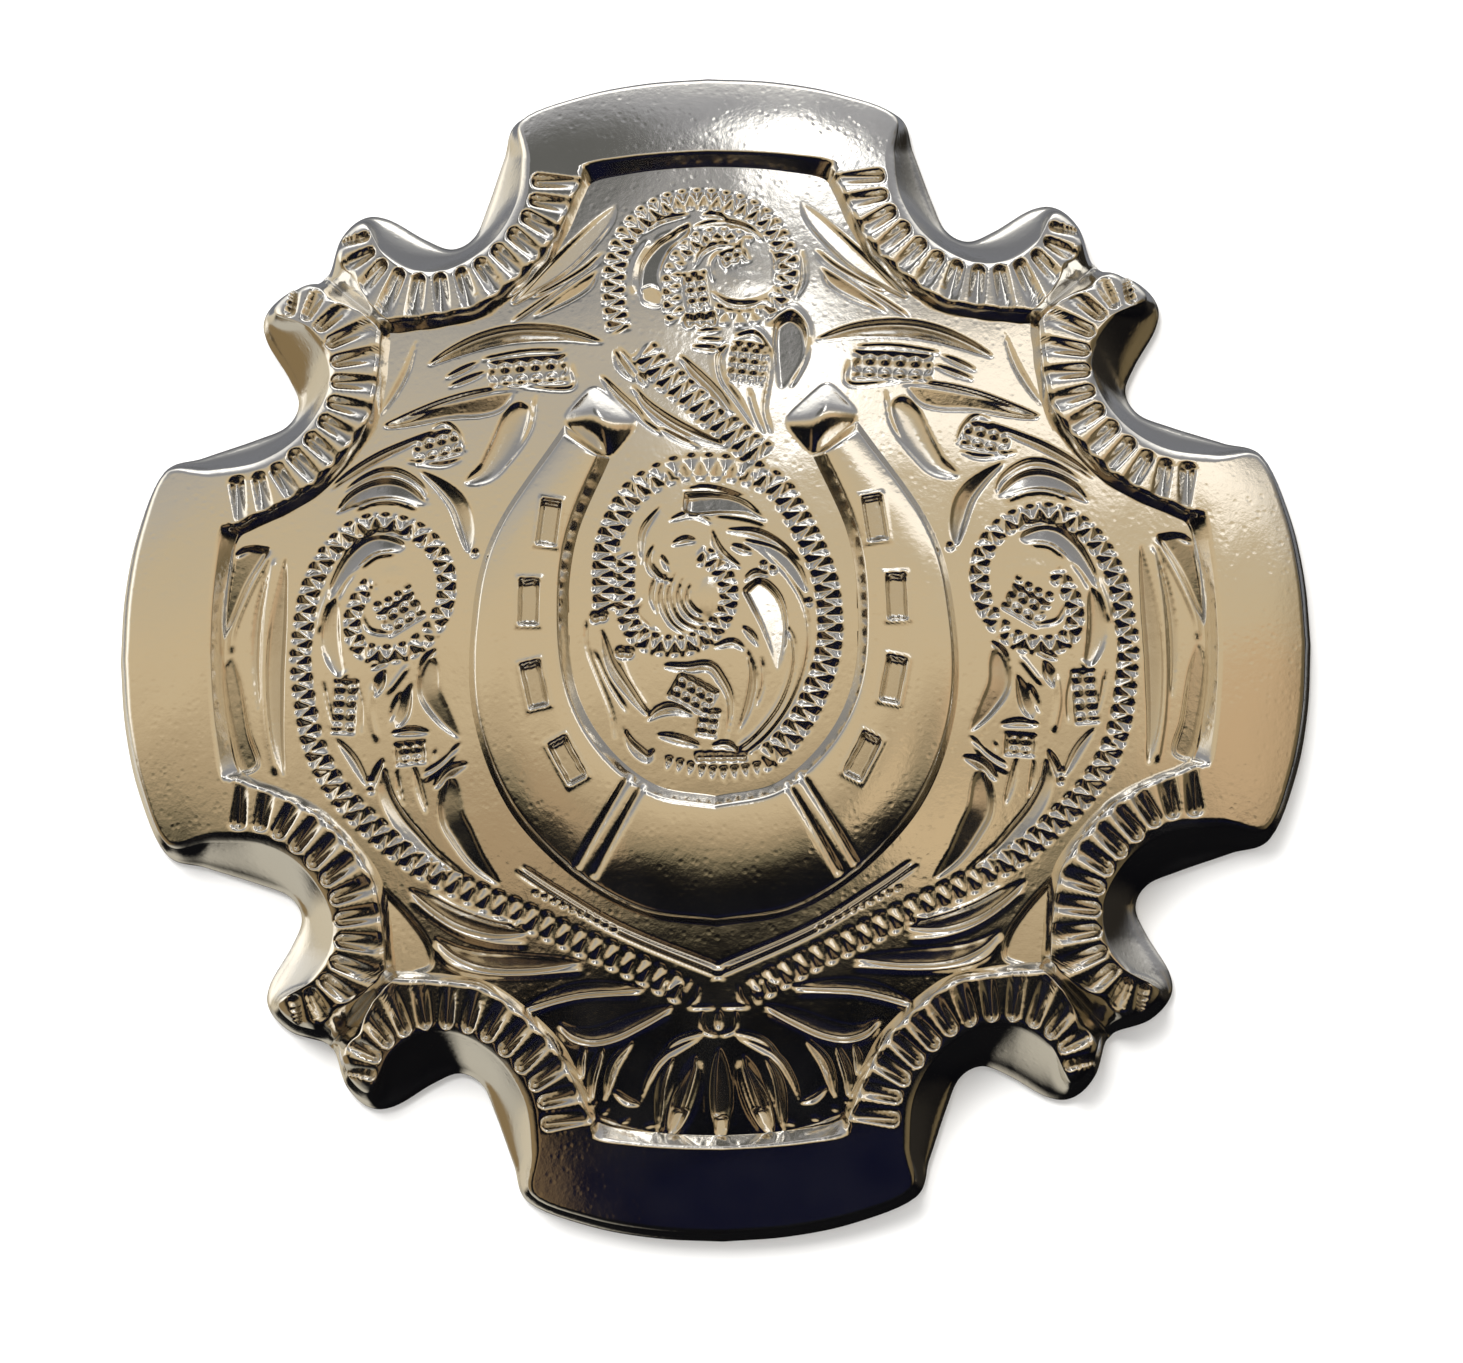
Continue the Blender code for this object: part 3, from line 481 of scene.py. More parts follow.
def shoeRelief(p):
    # Nail holes and bars of the right side, used on both sides through the absolute value of x
    q = np.stack([np.abs(p[..., 0]), p[..., 1]], axis=-1)
    drop, dullAndShade = np.zeros(q.shape[:-1]), np.zeros(q.shape[:-1])
    for x, y, lean in shoe["nails"]:
        c, s = math.cos(math.radians(lean)), math.sin(math.radians(lean))
        dx, dy = q[..., 0] - x, q[..., 1] - y
        across, length = np.abs(dx * c + dy * s), np.abs(dy * c - dx * s)
        depth = np.minimum(shoe["nailWidth"] / 2 - across, shoe["nailLength"] / 2 - length)
        hole = np.clip(depth / shoe["nailWall"], 0, 1)
        # A faint raised burr stands round each hole
        burr = np.exp(-((depth + shoe["burrAway"]) / shoe["burrWidth"])**2)
        drop += shoe["nailDepth"] * hole - shoe["burr"] * burr
        # Holes and bars are duller, and darker with painted shade
        dullAndShade = np.maximum(dullAndShade, hole * shoe["nailDullAndShade"])
    for bar in shoe["bars"]:
        along, aside, length = alongPath(q, pts(bar))
        inside = np.clip(np.minimum(along, length - along) / shoe["barTaper"], 0, 1)
        groove = inside * np.exp(-(aside / shoe["barHalf"])**2)
        drop += shoe["barDepth"] * groove
        dullAndShade = np.maximum(dullAndShade, shoe["barDullAndShade"] * groove)
    return drop, dullAndShade


def makeShoe():
    # Both edges have as many stations from heel to heel, and rows lie straight across between them,
    # close together on the drafted edges
    sides = []
    for drawn in (shoe["outer"], shoe["inner"]):
        fine = evenly(pts(drawn), shoe["readStep"])
        half = readOff(fine, np.arange(len(fine)), np.linspace(0, len(fine) - 1, shoe["stations"]))
        sides.append(np.vstack([(half * (-1, 1))[::-1], half[1:]]))
    outer, inner = sides
    width = np.linalg.norm(outer - inner, axis=1)
    edge = np.linspace(0, shoe["edgeShare"], shoe["edgeRows"])
    between = np.linspace(shoe["edgeShare"], 1 - shoe["edgeShare"], shoe["rows"])[1:-1]
    rows = np.concatenate([edge, between, 1 - edge[::-1]])
    plan = outer + (inner - outer) * rows[:, None, None]
    # The top lifts with the nearest draft, at the sides or at the heels, and is crowned across
    along = lengthAlong((outer + inner) / 2)
    fromEnd = np.minimum(along, along[-1] - along)
    across = rows[:, None] * width
    depth = np.minimum(across / shoe["outerDraft"], (width - across) / shoe["innerDraft"])
    depth = np.minimum(depth, fromEnd / shoe["endDraft"])
    lift = shoe["height"] * np.interp(depth, *shoe["profile"])
    crown = shoe["crown"] * (1 - (np.abs(rows - 0.5) * 2)[:, None]**2)
    drop, dullAndShade = shoeRelief(plan)
    height = dome(plan) + lift + crown * np.clip(depth, 0, 1) - drop - shoe["sunk"]
    height += finish["wave"] * ripples(plan, shoe["waveSize"], shoe["waveSeed"])
    # Both outer rows go straight down into the field
    buried = dome(plan[[0, -1]]) - shoe["buried"]
    plan = np.concatenate([plan[:1], plan, plan[-1:]])
    height = np.vstack([buried[:1], height, buried[1:]])
    points = np.dstack([plan, height]).reshape(-1, 3)
    number = np.arange(len(points)).reshape(height.shape)
    under = np.stack([number[0, :-1], number[-1, :-1], number[-1, 1:], number[0, 1:]], axis=-1)
    flat = [under, number[:, 0][None], number[:, -1][None, ::-1]]
    makePiece("horseshoe", points, [gridFaces(number)], flat, np.pad(dullAndShade, ((1, 1), (0, 0))).ravel())


makeShoe()

# Field: one fine raster of carving, from which each field piece takes its share of square blocks
raster = dict(
    pitch=0.045, block=8, half=364, buried=0.45,
    throatEnd=5.8, upperEdge=4.4, lowerEdge=-8.3,  # where the pieces meet
    rimSteps=6, shoeStep=0.5,  # how finely the loops round them are read
    grain=0.004, grainSize=0.7, grainSeed=3,
)
ticks = np.arange(-raster["half"], raster["half"] + 1) * raster["pitch"]
fieldPlan = np.dstack(np.meshgrid(ticks, ticks))
carved = np.zeros(fieldPlan.shape[:2])  # height over the plain field, below zero in the cuts
# Painted shade: the map below also darkens the colour in the cuts
dullAndShadeMap = np.zeros(fieldPlan.shape[:2])  # 1 where the buff didn't reach


def window(path, reach):
    # The part of the raster within reach of the path
    low, high = path.min(axis=0) - reach, path.max(axis=0) + reach
    a = np.clip(np.floor(low / raster["pitch"]).astype(int) + raster["half"], 0, len(ticks) - 1)
    b = np.clip(np.ceil(high / raster["pitch"]).astype(int) + raster["half"] + 1, 1, len(ticks))
    return slice(a[1], b[1]), slice(a[0], b[0])


def nearPath(path, reach):
    # The same as alongPath for the raster round a path, each segment in its own window
    area = window(path, reach)
    best = np.full(fieldPlan[area].shape[:2], reach**2)
    along, aside, total = np.zeros_like(best), np.full_like(best, 1e3), 0.0
    for k in range(len(path) - 1):
        near = window(path[k:k + 2], reach)
        part = tuple(slice(n.start - a.start, n.stop - a.start) for n, a in zip(near, area))
        total = noteSegment(fieldPlan[near], path, k, total, best[part], along[part], aside[part])
    return area, along, aside, total


def inLoop(p, loop):
    # True where a line to the right crosses the loop an odd number of times
    inside = np.zeros(p.shape[:-1], bool)
    for a, b in zip(loop, np.roll(loop, -1, axis=0)):
        crosses = (a[1] > p[..., 1]) != (b[1] > p[..., 1])
        rise = b[1] - a[1] if b[1] != a[1] else 1.0
        inside ^= crosses & (p[..., 0] < a[0] + (p[..., 1] - a[1]) * (b[0] - a[0]) / rise)
    return inside


# Gravers and punches. Routes are read on the right half, and mirror -1 puts them on the left one
graver = dict(
    step=0.12, margin=0.03, dullAndShadeDepth=0.25,
    uphill=(-0.45, 0.9),  # towards this the sides of cuts are steep
    profile=([-1, -0.82, 0.42, 0.6, 1], [0, 0.3, 0.96, 1, 0]),  # share of depth across a cut
    leastDepth=0.07, depthPerWidth=0.38,
    facetDepth=0.42, facetWall=0.08, facetStep=0.1,
    # Zigzag: swing, wedges and slopes are shares of the band's half width and of the pitch
    swing=1.3, ridgeHeight=0.075, ridgeHalf=0.06, ridgeFoot=0.05, grooveDepth=0.04,
    wedgeHalf=0.28, wedgeLength=1.7, wedgeSideSlope=1.1, wedgeEndSlope=2.0,
    toothSide=0.06, toothEnd=0.12,
    beadRadius=0.52, beadEdge=0.1, pitSlope=1.2, pitFloor=0.75, bossSunk=0.05,
    blockRounding=7.0, blockMargin=0.04, blockBulge=0.25,
)


def route(flat, mirror=1, step=graver["step"]):
    # Even steps along the curve through the points
    return evenly(pts(flat), step) * (mirror, 1)


def runOut(along, total, taper):
    # 0 at both ends of a route, rising to 1 over the taper's length
    return np.clip(np.minimum(along, total - along) / taper, 0, 1)


def swell(along, total, width, peak, power):
    # Half the width along a route: a power of a sine wave, whose middle is moved to the peak
    t = np.clip(along / total, 0, 1) ** (math.log(0.5) / math.log(peak))
    return width / 2 * np.sin(math.pi * t) ** power + 1e-6


def lower(area, depth, dullAndShade=1.0):
    # Cuts down to the depth where the field is higher, and dulls the floor and darkens it with painted
    # shade the more the deeper it is
    carved[area] = np.minimum(carved[area], -depth)
    dullAndShadeMap[area] = np.maximum(dullAndShadeMap[area], np.clip(depth / graver["dullAndShadeDepth"], 0, 1) * dullAndShade)


def facet(flat, tiltX, tiltY, mirror=1):
    # A smooth leaf-shaped face, sunk and leaning: its normal leans to +X and +Y by the two tilts
    loop = route(flat + flat[:2], mirror, graver["facetStep"])
    area, _, aside, _ = nearPath(loop, graver["facetStep"])
    inside = inLoop(fieldPlan[area], loop[:-1])
    level = -(fieldPlan[area] @ (tiltX * mirror, tiltY))
    level = np.maximum(level - (level[inside].max() + 0.01), -graver["facetDepth"])
    wall = np.clip(np.abs(aside) / graver["facetWall"], 0, 1)
    carved[area] = np.where(inside, level * wall, carved[area])
    dullAndShadeMap[area] = np.where(inside, 0.1, dullAndShadeMap[area])


def cut(flat, width, depth=0.27, peak=0.5, flip=1, mirror=1):
    # A graver's cut along a curve: its width swells to the peak and ends in points. The side that faces
    # up and left of it on the photograph is steep, and the floor slopes up to a small lip on the other
    path = route(flat)
    left = np.gradient(path, axis=0)[:, ::-1] * (-1, 1)
    side = flip * mirror * (1 if left.mean(axis=0) @ graver["uphill"] > 0 else -1)
    area, along, aside, total = nearPath(path * (mirror, 1), width / 2 + graver["margin"])
    half = swell(along, total, width, peak, 0.7)
    q = np.clip(aside * side / half, -1, 1)
    deepest = min(depth, graver["leastDepth"] + graver["depthPerWidth"] * width)
    deep = deepest * (half / (width / 2)) ** 0.6
    lower(area, deep * np.interp(q, *graver["profile"]))


def scoop(flat, width, depth, peak, mirror=1):
    # A shallow smooth bowl along a curve, broadest at the peak
    area, along, aside, total = nearPath(route(flat, mirror), width / 2 + graver["margin"])
    half = swell(along, total, width, peak, 0.5)
    lower(area, depth * np.sqrt(np.clip(1 - (aside / half)**2, 0, 1)) * (half / (width / 2)), 0.5)


def line(flat, width=0.13, depth=0.12, taper=0.3, mirror=1):
    # A plain V line of even width, with its ends run out
    area, along, aside, total = nearPath(route(flat, mirror), width / 2)
    across = np.clip(1 - np.abs(aside) / (width / 2), 0, 1)
    lower(area, depth * runOut(along, total, taper) * across, 0.8)


def zigzag(flat, pitch, half, narrow=1.0, depth=0.26, mirror=1):
    # A band crossed by a zigzag ridge: wedge pits point at each other from both sides of it. The band
    # narrows along its length to the given share of its width
    area, along, aside, total = nearPath(route(flat, mirror, 0.15), half + 0.05)
    half = half * (1 + (narrow - 1) * np.clip(along / total, 0, 1))
    ends = runOut(along, total, 0.1)
    # The ridge goes from one side to the other and back once in each pitch
    wave = (np.abs((along / pitch) % 1 * 2 - 1) - 0.5) * graver["swing"] * half
    fromRidge = np.abs(aside - wave) / np.hypot(1, 2 * graver["swing"] * half / pitch)
    clear = np.minimum(fromRidge, half - np.abs(aside)) - graver["ridgeFoot"]
    deep = np.clip(clear, 0, graver["grooveDepth"])
    # Pits are blunt and deep at the band's edge, and run to a point between two slopes of the ridge
    for side, start in ((1, 0.0), (-1, 0.5)):
        beside = np.abs((along / pitch + start) % 1 - 0.5) * pitch
        inward = half - side * aside
        wedge = graver["wedgeHalf"] * pitch * (1 - inward / (graver["wedgeLength"] * half)) - beside
        pit = np.minimum(wedge * graver["wedgeSideSlope"], inward * graver["wedgeEndSlope"])
        deep = np.maximum(deep, np.clip(pit, 0, depth))
    lower(area, deep * ends)
    ridgeShare = ends * np.exp(-(fromRidge / graver["ridgeHalf"])**2) * (np.abs(aside) < half)
    carved[area] += graver["ridgeHeight"] * ridgeShare


def teeth(flat, pitch, width, length, depth=0.24, mirror=1):
    # A row of wedge pits across a route: each is broad and deep on its left, and runs to a point
    area, along, aside, total = nearPath(route(flat, mirror), length / 2 + 0.05)
    count = max(1, round(total / pitch))
    beside = np.abs((along / total * count) % 1 - 0.5) * total / count
    across = aside * mirror / length + 0.5
    half = width / 2 * np.clip(across, 0, 1)
    inside = np.clip((half - beside) / graver["toothSide"], 0, 1)
    inside = inside * np.clip((1 - across) / graver["toothEnd"], 0, 1)
    inside = inside * (across > 0) * (along > 0) * (along < total)
    lower(area, depth * inside * np.clip(across * 1.4, 0, 1))


def beads(x, y, width, height, turn, pitch, depth=0.16, mirror=1):
    # A sunk patch filled with a grid of round beads, each a raised cosine wave of its distance
    angle = math.radians(turn)
    corners = pts([x - width / 2, y - height / 2, x + width / 2, y + height / 2]) * (mirror, 1)
    area = window(corners, 0.25 * max(width, height) + 0.1)
    p = fieldPlan[area] * (mirror, 1) - (x, y)
    u = p[..., 0] * math.cos(angle) + p[..., 1] * math.sin(angle)
    v = p[..., 1] * math.cos(angle) - p[..., 0] * math.sin(angle)
    edge = np.minimum(width / 2 - np.abs(u), height / 2 - np.abs(v))
    away = np.hypot((u / pitch) % 1 - 0.5, (v / pitch) % 1 - 0.5)
    bead = 0.5 + 0.5 * np.cos(math.pi * np.clip(away / graver["beadRadius"], 0, 1))
    lower(area, depth * np.clip(edge / graver["beadEdge"], 0, 1) * (1 - bead))


def pits(flat, radius, mirror=1):
    # Round punch marks, cone-shaped with a blunt end
    for x, y in pts(flat) * (mirror, 1):
        area = window(pts([x, y]), radius)
        away = np.hypot(fieldPlan[area][..., 0] - x, fieldPlan[area][..., 1] - y)
        lower(area, graver["pitSlope"] * np.clip(radius - away, 0, graver["pitFloor"] * radius))


def ridge(flat, width=0.16, height=0.07, taper=0.25, mirror=1):
    # A raised bead of metal pushed up beside a cut, bell-shaped across
    area, along, aside, total = nearPath(route(flat, mirror), width)
    share = runOut(along, total, taper) * np.exp(-(aside / (width / 2))**2)
    carved[area] += height * share
    dullAndShadeMap[area] *= 1 - share


def ball(x, y, halfWidth, halfHeight, height, mirror=1):
    # A low oval boss, half an ellipsoid sunk a little
    area = window(pts([x * mirror, y]), max(halfWidth, halfHeight))
    p = (fieldPlan[area] - (x * mirror, y)) / (halfWidth, halfHeight)
    share = np.clip(1 - (p**2).sum(axis=-1), 0, 1)
    boss = np.where(share > 0, height * np.sqrt(share) - graver["bossSunk"], carved[area])
    carved[area] = np.maximum(carved[area], boss)
    dullAndShadeMap[area] *= share <= 0


def block(corners, height, draft, mirror=1):
    # A raised block over a four-cornered foot. Its sides lift with the distance from the nearest edge, a
    # soft minimum that rounds the corners off
    foot = pts(corners) * (mirror, 1)
    area = window(foot, 0.1)
    near = 0
    for a, b in zip(foot, np.roll(foot, -1, axis=0)):
        dx, dy = (b - a) / math.dist(a, b)
        p = fieldPlan[area] - a
        inward = -mirror * (p[..., 1] * dx - p[..., 0] * dy)
        near = near + np.exp(-graver["blockRounding"] * np.clip(inward, -1, 9))
    depth = -np.log(near) / graver["blockRounding"] + graver["blockMargin"]
    share = np.clip(depth / draft, 0, 1)
    bulge = graver["blockBulge"]
    carved[area] = np.where(depth > 0, height * share * (1 + bulge - bulge * share), carved[area])
    dullAndShadeMap[area] *= depth <= 0


# Carving that the left half repeats as a mirror image, read on the right half. Each stroke is a route
# of x and y in millimetres with its tool's sizes, or the route alone
sideScroll = dict(
    cuts=[
        ([8.9, 4.5, 9.15, 5.05, 9.8, 5.5, 10.4, 5.58, 11, 5.38, 11.6, 5.02], 0.26),
        ([9, 4.5, 9.8, 4.98, 10.5, 5.05, 11.2, 4.82, 11.85, 4.35], 0.66, 0.22),
        ([9.25, 5.62, 8.55, 5.1, 8, 4.5, 7.75, 3.8, 7.62, 2.9], 0.6, 0.25, 0.6, -1),
        ([9.5, 3.42, 10.1, 3.62, 10.7, 3.58, 11.3, 3.2, 11.75, 2.7], 0.24),
        ([9.7, 3.15, 10.6, 3.3, 11.3, 2.85, 11.85, 2.1, 12.15, 1.5], 0.66, 0.22, 0.35),
        ([8.7, -0.15, 9, -0.45, 9.25, -0.95], 0.24),
        ([8.85, -0.4, 8.95, -1.4, 8.55, -2.2, 8, -2.95], 0.74, 0.22, 0.35, -1),
        ([9.45, -1.1, 9.75, -1.9, 9.95, -2.55], 0.56, 0.18, 0.65),
        ([9.85, -1.45, 10.05, -1.9, 10.2, -2.4], 0.18),
        ([10.15, -0.45, 10.45, -0.55, 10.78, -0.68], 0.22),
        ([10.35, -0.75, 10.5, -1.1, 10.65, -1.55], 0.36, 0.2),
        ([11.9, -2.85, 11.4, -3.5, 10.9, -4.4], 0.26), ([8.95, -2.75, 9.5, -2.7, 10.15, -2.75], 0.26),
        ([7.75, -3.75, 8.3, -4, 8.8, -4.5], 0.34), ([10.4, -3.5, 10.65, -4, 10.78, -4.5], 0.24),
        ([8.3, -4.2, 8.3, -5.3, 7.98, -6, 7.5, -6.8, 6.8, -7.55], 0.8, 0.24, 0.35, -1),
        ([10.4, -3.85, 10.35, -4.6, 9.95, -5.4, 9.4, -6.05, 8.8, -6.65, 7.85, -7.3], 0.5, 0.25, 0.4),
        ([9.45, -3.75, 9.3, -4.5, 9.05, -5.3], 0.22), ([9.95, -3.8, 9.95, -4.4, 9.8, -5], 0.16),
    ],
    scoops=[([11.9, 1.6, 12.05, 0.7, 12, -0.1, 11.7, -0.95], 0.62, 0.16, 0.5)],
    lines=[
        [11.25, 2.45, 11.6, 2, 11.85, 1.5], [10.15, 0.38, 10.8, 0.55, 11.05, 1.05],
        [8.75, -3.25, 8.8, -3.62], [7.95, -3.1, 8.5, -3.65, 9.15, -4.05],
        [11.3, -0.95, 11.1, -1.8, 11.1, -2.7], [12.3, -1, 12.15, -1.8, 11.9, -2.6],
    ],
    ridges=[
        [9.2, 4.35, 9.9, 4.62, 10.6, 4.66, 11.3, 4.42], [12, 2, 12.32, 1.2, 12.45, 0.5],
        [11.45, -0.7, 11.85, -0.95], [9.55, -0.55, 10.3, -1.5], [10.72, -1.1, 10.8, -2, 10.6, -3],
        [8.1, -3.3, 8.6, -3.85, 9.2, -4.25], [9.9, 3.02, 10.6, 2.92, 11.1, 2.55],
    ],
    zigzags=[
        ([1, -11, 2.9, -10, 4.5, -9.28, 6, -8.55, 7.45, -7.88, 9.15, -6.95, 10.55, -5.85, 11.85, -4.5,
          12.68, -2.8, 13.02, -0.5, 12.95, 0.5, 12.75, 1.7, 12.3, 2.75, 11.6, 3.55, 10.7, 3.95, 9.7,
          3.8, 8.95, 3.35, 8.5, 2.7, 8.35, 2, 8.45, 1.2, 8.85, 0.45, 9.5, -0.1, 10.2, -0.25, 10.9,
          -0.15, 11.3, 0.3, 11.35, 1, 11.1, 1.6, 10.7, 2.1], 0.55, 0.43, 0.62),
    ],
    teeth=[([5.75, -7.72, 4.6, -8.28, 3, -9.05], 0.3, 0.2, 0.22)],
    beads=[
        (9.8, 1, 1.35, 0.9, -30, 0.4), (11.62, -1.85, 0.8, 1.7, 5, 0.42),
        (9.55, -3.38, 1, 0.72, -4, 0.36),
    ],
    pits=[([7.45, 2.87, 9.6, 1.85, 9.9, 1.6, 10.2, 1.43, 10.55, 1.3, 10.8, -4.2, 10.8, -4.5], 0.14)],
    balls=[(10.05, 2.25, 0.8, 0.52, 0.06)],
)
upperField = dict(
    cuts=[
        ([3.35, 9.55, 4.6, 9.87, 6, 9.95, 7.1, 9.78, 8.1, 9.42, 8.95, 9], 0.58),
        ([5.95, 8.12, 6.8, 8.08, 7.6, 7.94, 8.5, 7.7, 9.4, 7.4, 10.4, 7.06], 0.3, 0.22),
        ([8.6, 6.88, 9.5, 6.5, 10.5, 6.08, 11.4, 5.58, 12.1, 5.08], 0.26),
        ([9.3, 9.85, 9.62, 8.9, 9.95, 8.25, 10.45, 7.45], 0.24, 0.12), ([3.75, 9.72, 4.3, 9.88], 0.16),
        ([7.3, 9.05, 8.4, 8.55], 0.18), ([7.05, 8.72, 8.3, 8.25], 0.18),
        ([7.7, 6.1, 8, 6.75, 8.42, 7.1, 8.8, 6.92], 0.16), ([7.8, 5.92, 8.5, 5.74, 9.6, 5.9], 0.16),
    ],
    facets=[
        ([2.9, 14.25, 3.05, 13.55, 3.75, 12.65, 4.75, 11.75, 6.25, 10.95, 5.5, 11.85, 4.6, 12.75, 3.6,
          13.7], -0.03, -0.1),
        ([3.5, 12, 3.75, 11.4, 4.5, 10.9, 5.6, 10.45, 4.9, 11.1, 4.2, 11.6], -0.24, -0.34),
        ([6.09, 8.12, 7.2, 8.1, 8.23, 7.83, 9.26, 7.48, 10.3, 7.08, 9.58, 7.06, 8.23, 7.25, 7.2, 7.28,
          6.52, 7.5], 0, -0.345),
    ],
    scoops=[([5.85, 7.6, 6.15, 7.15, 6.4, 6.5, 6.7, 5.95, 7.1, 5.45, 7.75, 5.14], 0.92, 0.2, 0.36)],
    lines=[
        [4.6, 9.32, 5.8, 9.34, 7.25, 9.12], [4.35, 8.9, 4.38, 8.1, 6, 8.22],
        [3.35, 12.55, 4, 12, 5, 11.4, 5.7, 11.15], [5.5, 7.9, 5.62, 7, 5.9, 6.4, 6.4, 5.75, 6.9, 5.25],
        [3.4, 12.35, 3.9, 11.98, 6.3, 10.3],
    ],
    beads=[(5.75, 8.68, 2.5, 0.95, -3, 0.48), (8.65, 6.35, 1.5, 0.9, -14, 0.42)],
)
sideArm = dict(
    facets=[
        ([14, 3.3, 14.6, 3.4, 15.1, 3.2, 15.42, 2, 15.6, 0.5, 15.25, 0.95, 14.7, 2.2], -0.37, -0.2),
        ([15.2, -0.05, 15.5, -0.5, 15.6, -2.1, 15.5, -3.7, 14.4, -3.6, 14.66, -2.5, 14.92, -1],
          0, -0.1),
    ],
    cuts=[
        ([13.5, 2.95, 13.72, 1, 13.85, -0.8, 13.8, -2.6, 13.6, -3.95], 0.6),
        ([15.1, 3.1, 14.65, 3.2, 14.2, 3.1], 0.3, 0.3, 0.4),
        ([14.1, 2.6, 14.4, 1.2, 14.5, -0.2, 14.4, -1.8], 0.24),
    ],
    ridges=[
        [13.85, 3, 14.1, 1.2, 14.18, -0.6, 14.1, -2.4, 13.85, -3.9],
        [13.95, 3.2, 14.6, 2.05, 15.15, 0.8, 15.25, 0],
    ],
    pits=[([15.3, -0.8, 15.32, -1.2, 15.3, -1.65, 15.25, -2.15], 0.1)],
)
lowerField = dict(
    facets=[
        ([10.55, -7.45, 9.7, -8.35, 9.1, -9.2, 8.95, -9.95, 9.4, -10.2, 10.2, -10.3, 10.45, -9],
          -0.28, 0.12),
        ([1, -14.6, 1.48, -14.55, 1.66, -15.2, 1.4, -15.35], 0.08, 0.4),
    ],
    cuts=[
        ([5.9, -9.05, 7, -8.95, 8.1, -8.58, 9, -8.05, 9.65, -7.6], 0.56, 0.25, 0.5, -1),
        ([4.3, -10, 6, -10.02, 7.3, -9.92, 8.2, -9.62, 8.85, -9.15], 0.6, 0.25, 0.5, -1),
        ([2.3, -10.85, 4, -10.83, 5, -11, 6.1, -11.4], 0.46, 0.22, 0.5, -1),
        ([1.45, -11.4, 2.5, -11.82, 3.3, -12.15, 4, -12.28, 4.6, -12.15, 5, -11.85],
          0.6, 0.25, 0.5, -1),
        ([0.4, -12.2, 1.3, -12.5, 1.85, -12.95], 0.24),
        ([0.55, -12.35, 1.7, -12.95, 2.2, -13.6, 2.5, -14.35], 0.22),
        ([3.35, -13.95, 2.95, -14.3, 2.5, -14.42], 0.2),
        ([0.75, -12.95, 1.15, -13.9, 1.6, -15.35], 0.5, 0.24, 0.45),
        ([1.45, -12.95, 1.85, -13.8, 2, -15.3], 0.3), ([2.7, -12.45, 3.3, -13.2, 3.6, -14.25], 0.34),
        ([3.65, -12.6, 4, -13.5, 4.05, -14.3], 0.3), ([4.2, -12.6, 4.35, -13.1, 4.3, -13.6], 0.22),
        ([2, -15.38, 3, -15.2, 4.2, -14.68], 0.2),
    ],
    lines=[
        [-0.25, -10.6, 3, -9.2, 5, -8, 6.3, -7.12], [-0.25, -10.27, 2.9, -8.98, 4.9, -7.8, 6.1, -7],
        [0.05, -11.45, 1, -11.45], [0.5, -11.5, 0.55, -11.9, 0.42, -12.2, 0, -12.32],
        [0.6, -10.75, 0.7, -11.2, 1, -11.45], [3.85, -14.3, 4.05, -14.45], [3.45, -14.55, 3.75, -14.68],
        [2.8, -14.85, 3.2, -14.98], [2, -15, 2.4, -15.1],
    ],
    ridges=[
        [5.95, -9.44, 7, -9.36, 8, -9.04, 8.95, -8.44, 9.6, -7.9],
        [5.9, -8.8, 7, -8.66, 8.1, -8.28, 9, -7.75],
        [4.2, -10.28, 6, -10.36, 7.4, -10.3, 8.35, -10, 8.95, -9.35],
        [2.4, -11.06, 4, -11.06, 5, -11.24, 6.1, -11.6],
        [1.45, -11.6, 2.5, -12.12, 3.3, -12.46, 4, -12.6, 4.65, -12.44, 5.05, -12],
        [-0.1, -10.43, 3, -9.1, 5, -7.9, 6.2, -7.05],
        [0.02, -12.75, 0.3, -13.3, 0.38, -14.2, 0.32, -15, 0.1, -15.45],
        [0.62, -13.1, 0.6, -13.75, 0.93, -14.7, 1.38, -15.38],
        [0.72, -13.05, 1.25, -13.75, 1.62, -14.5, 1.74, -15.3],
    ],
)
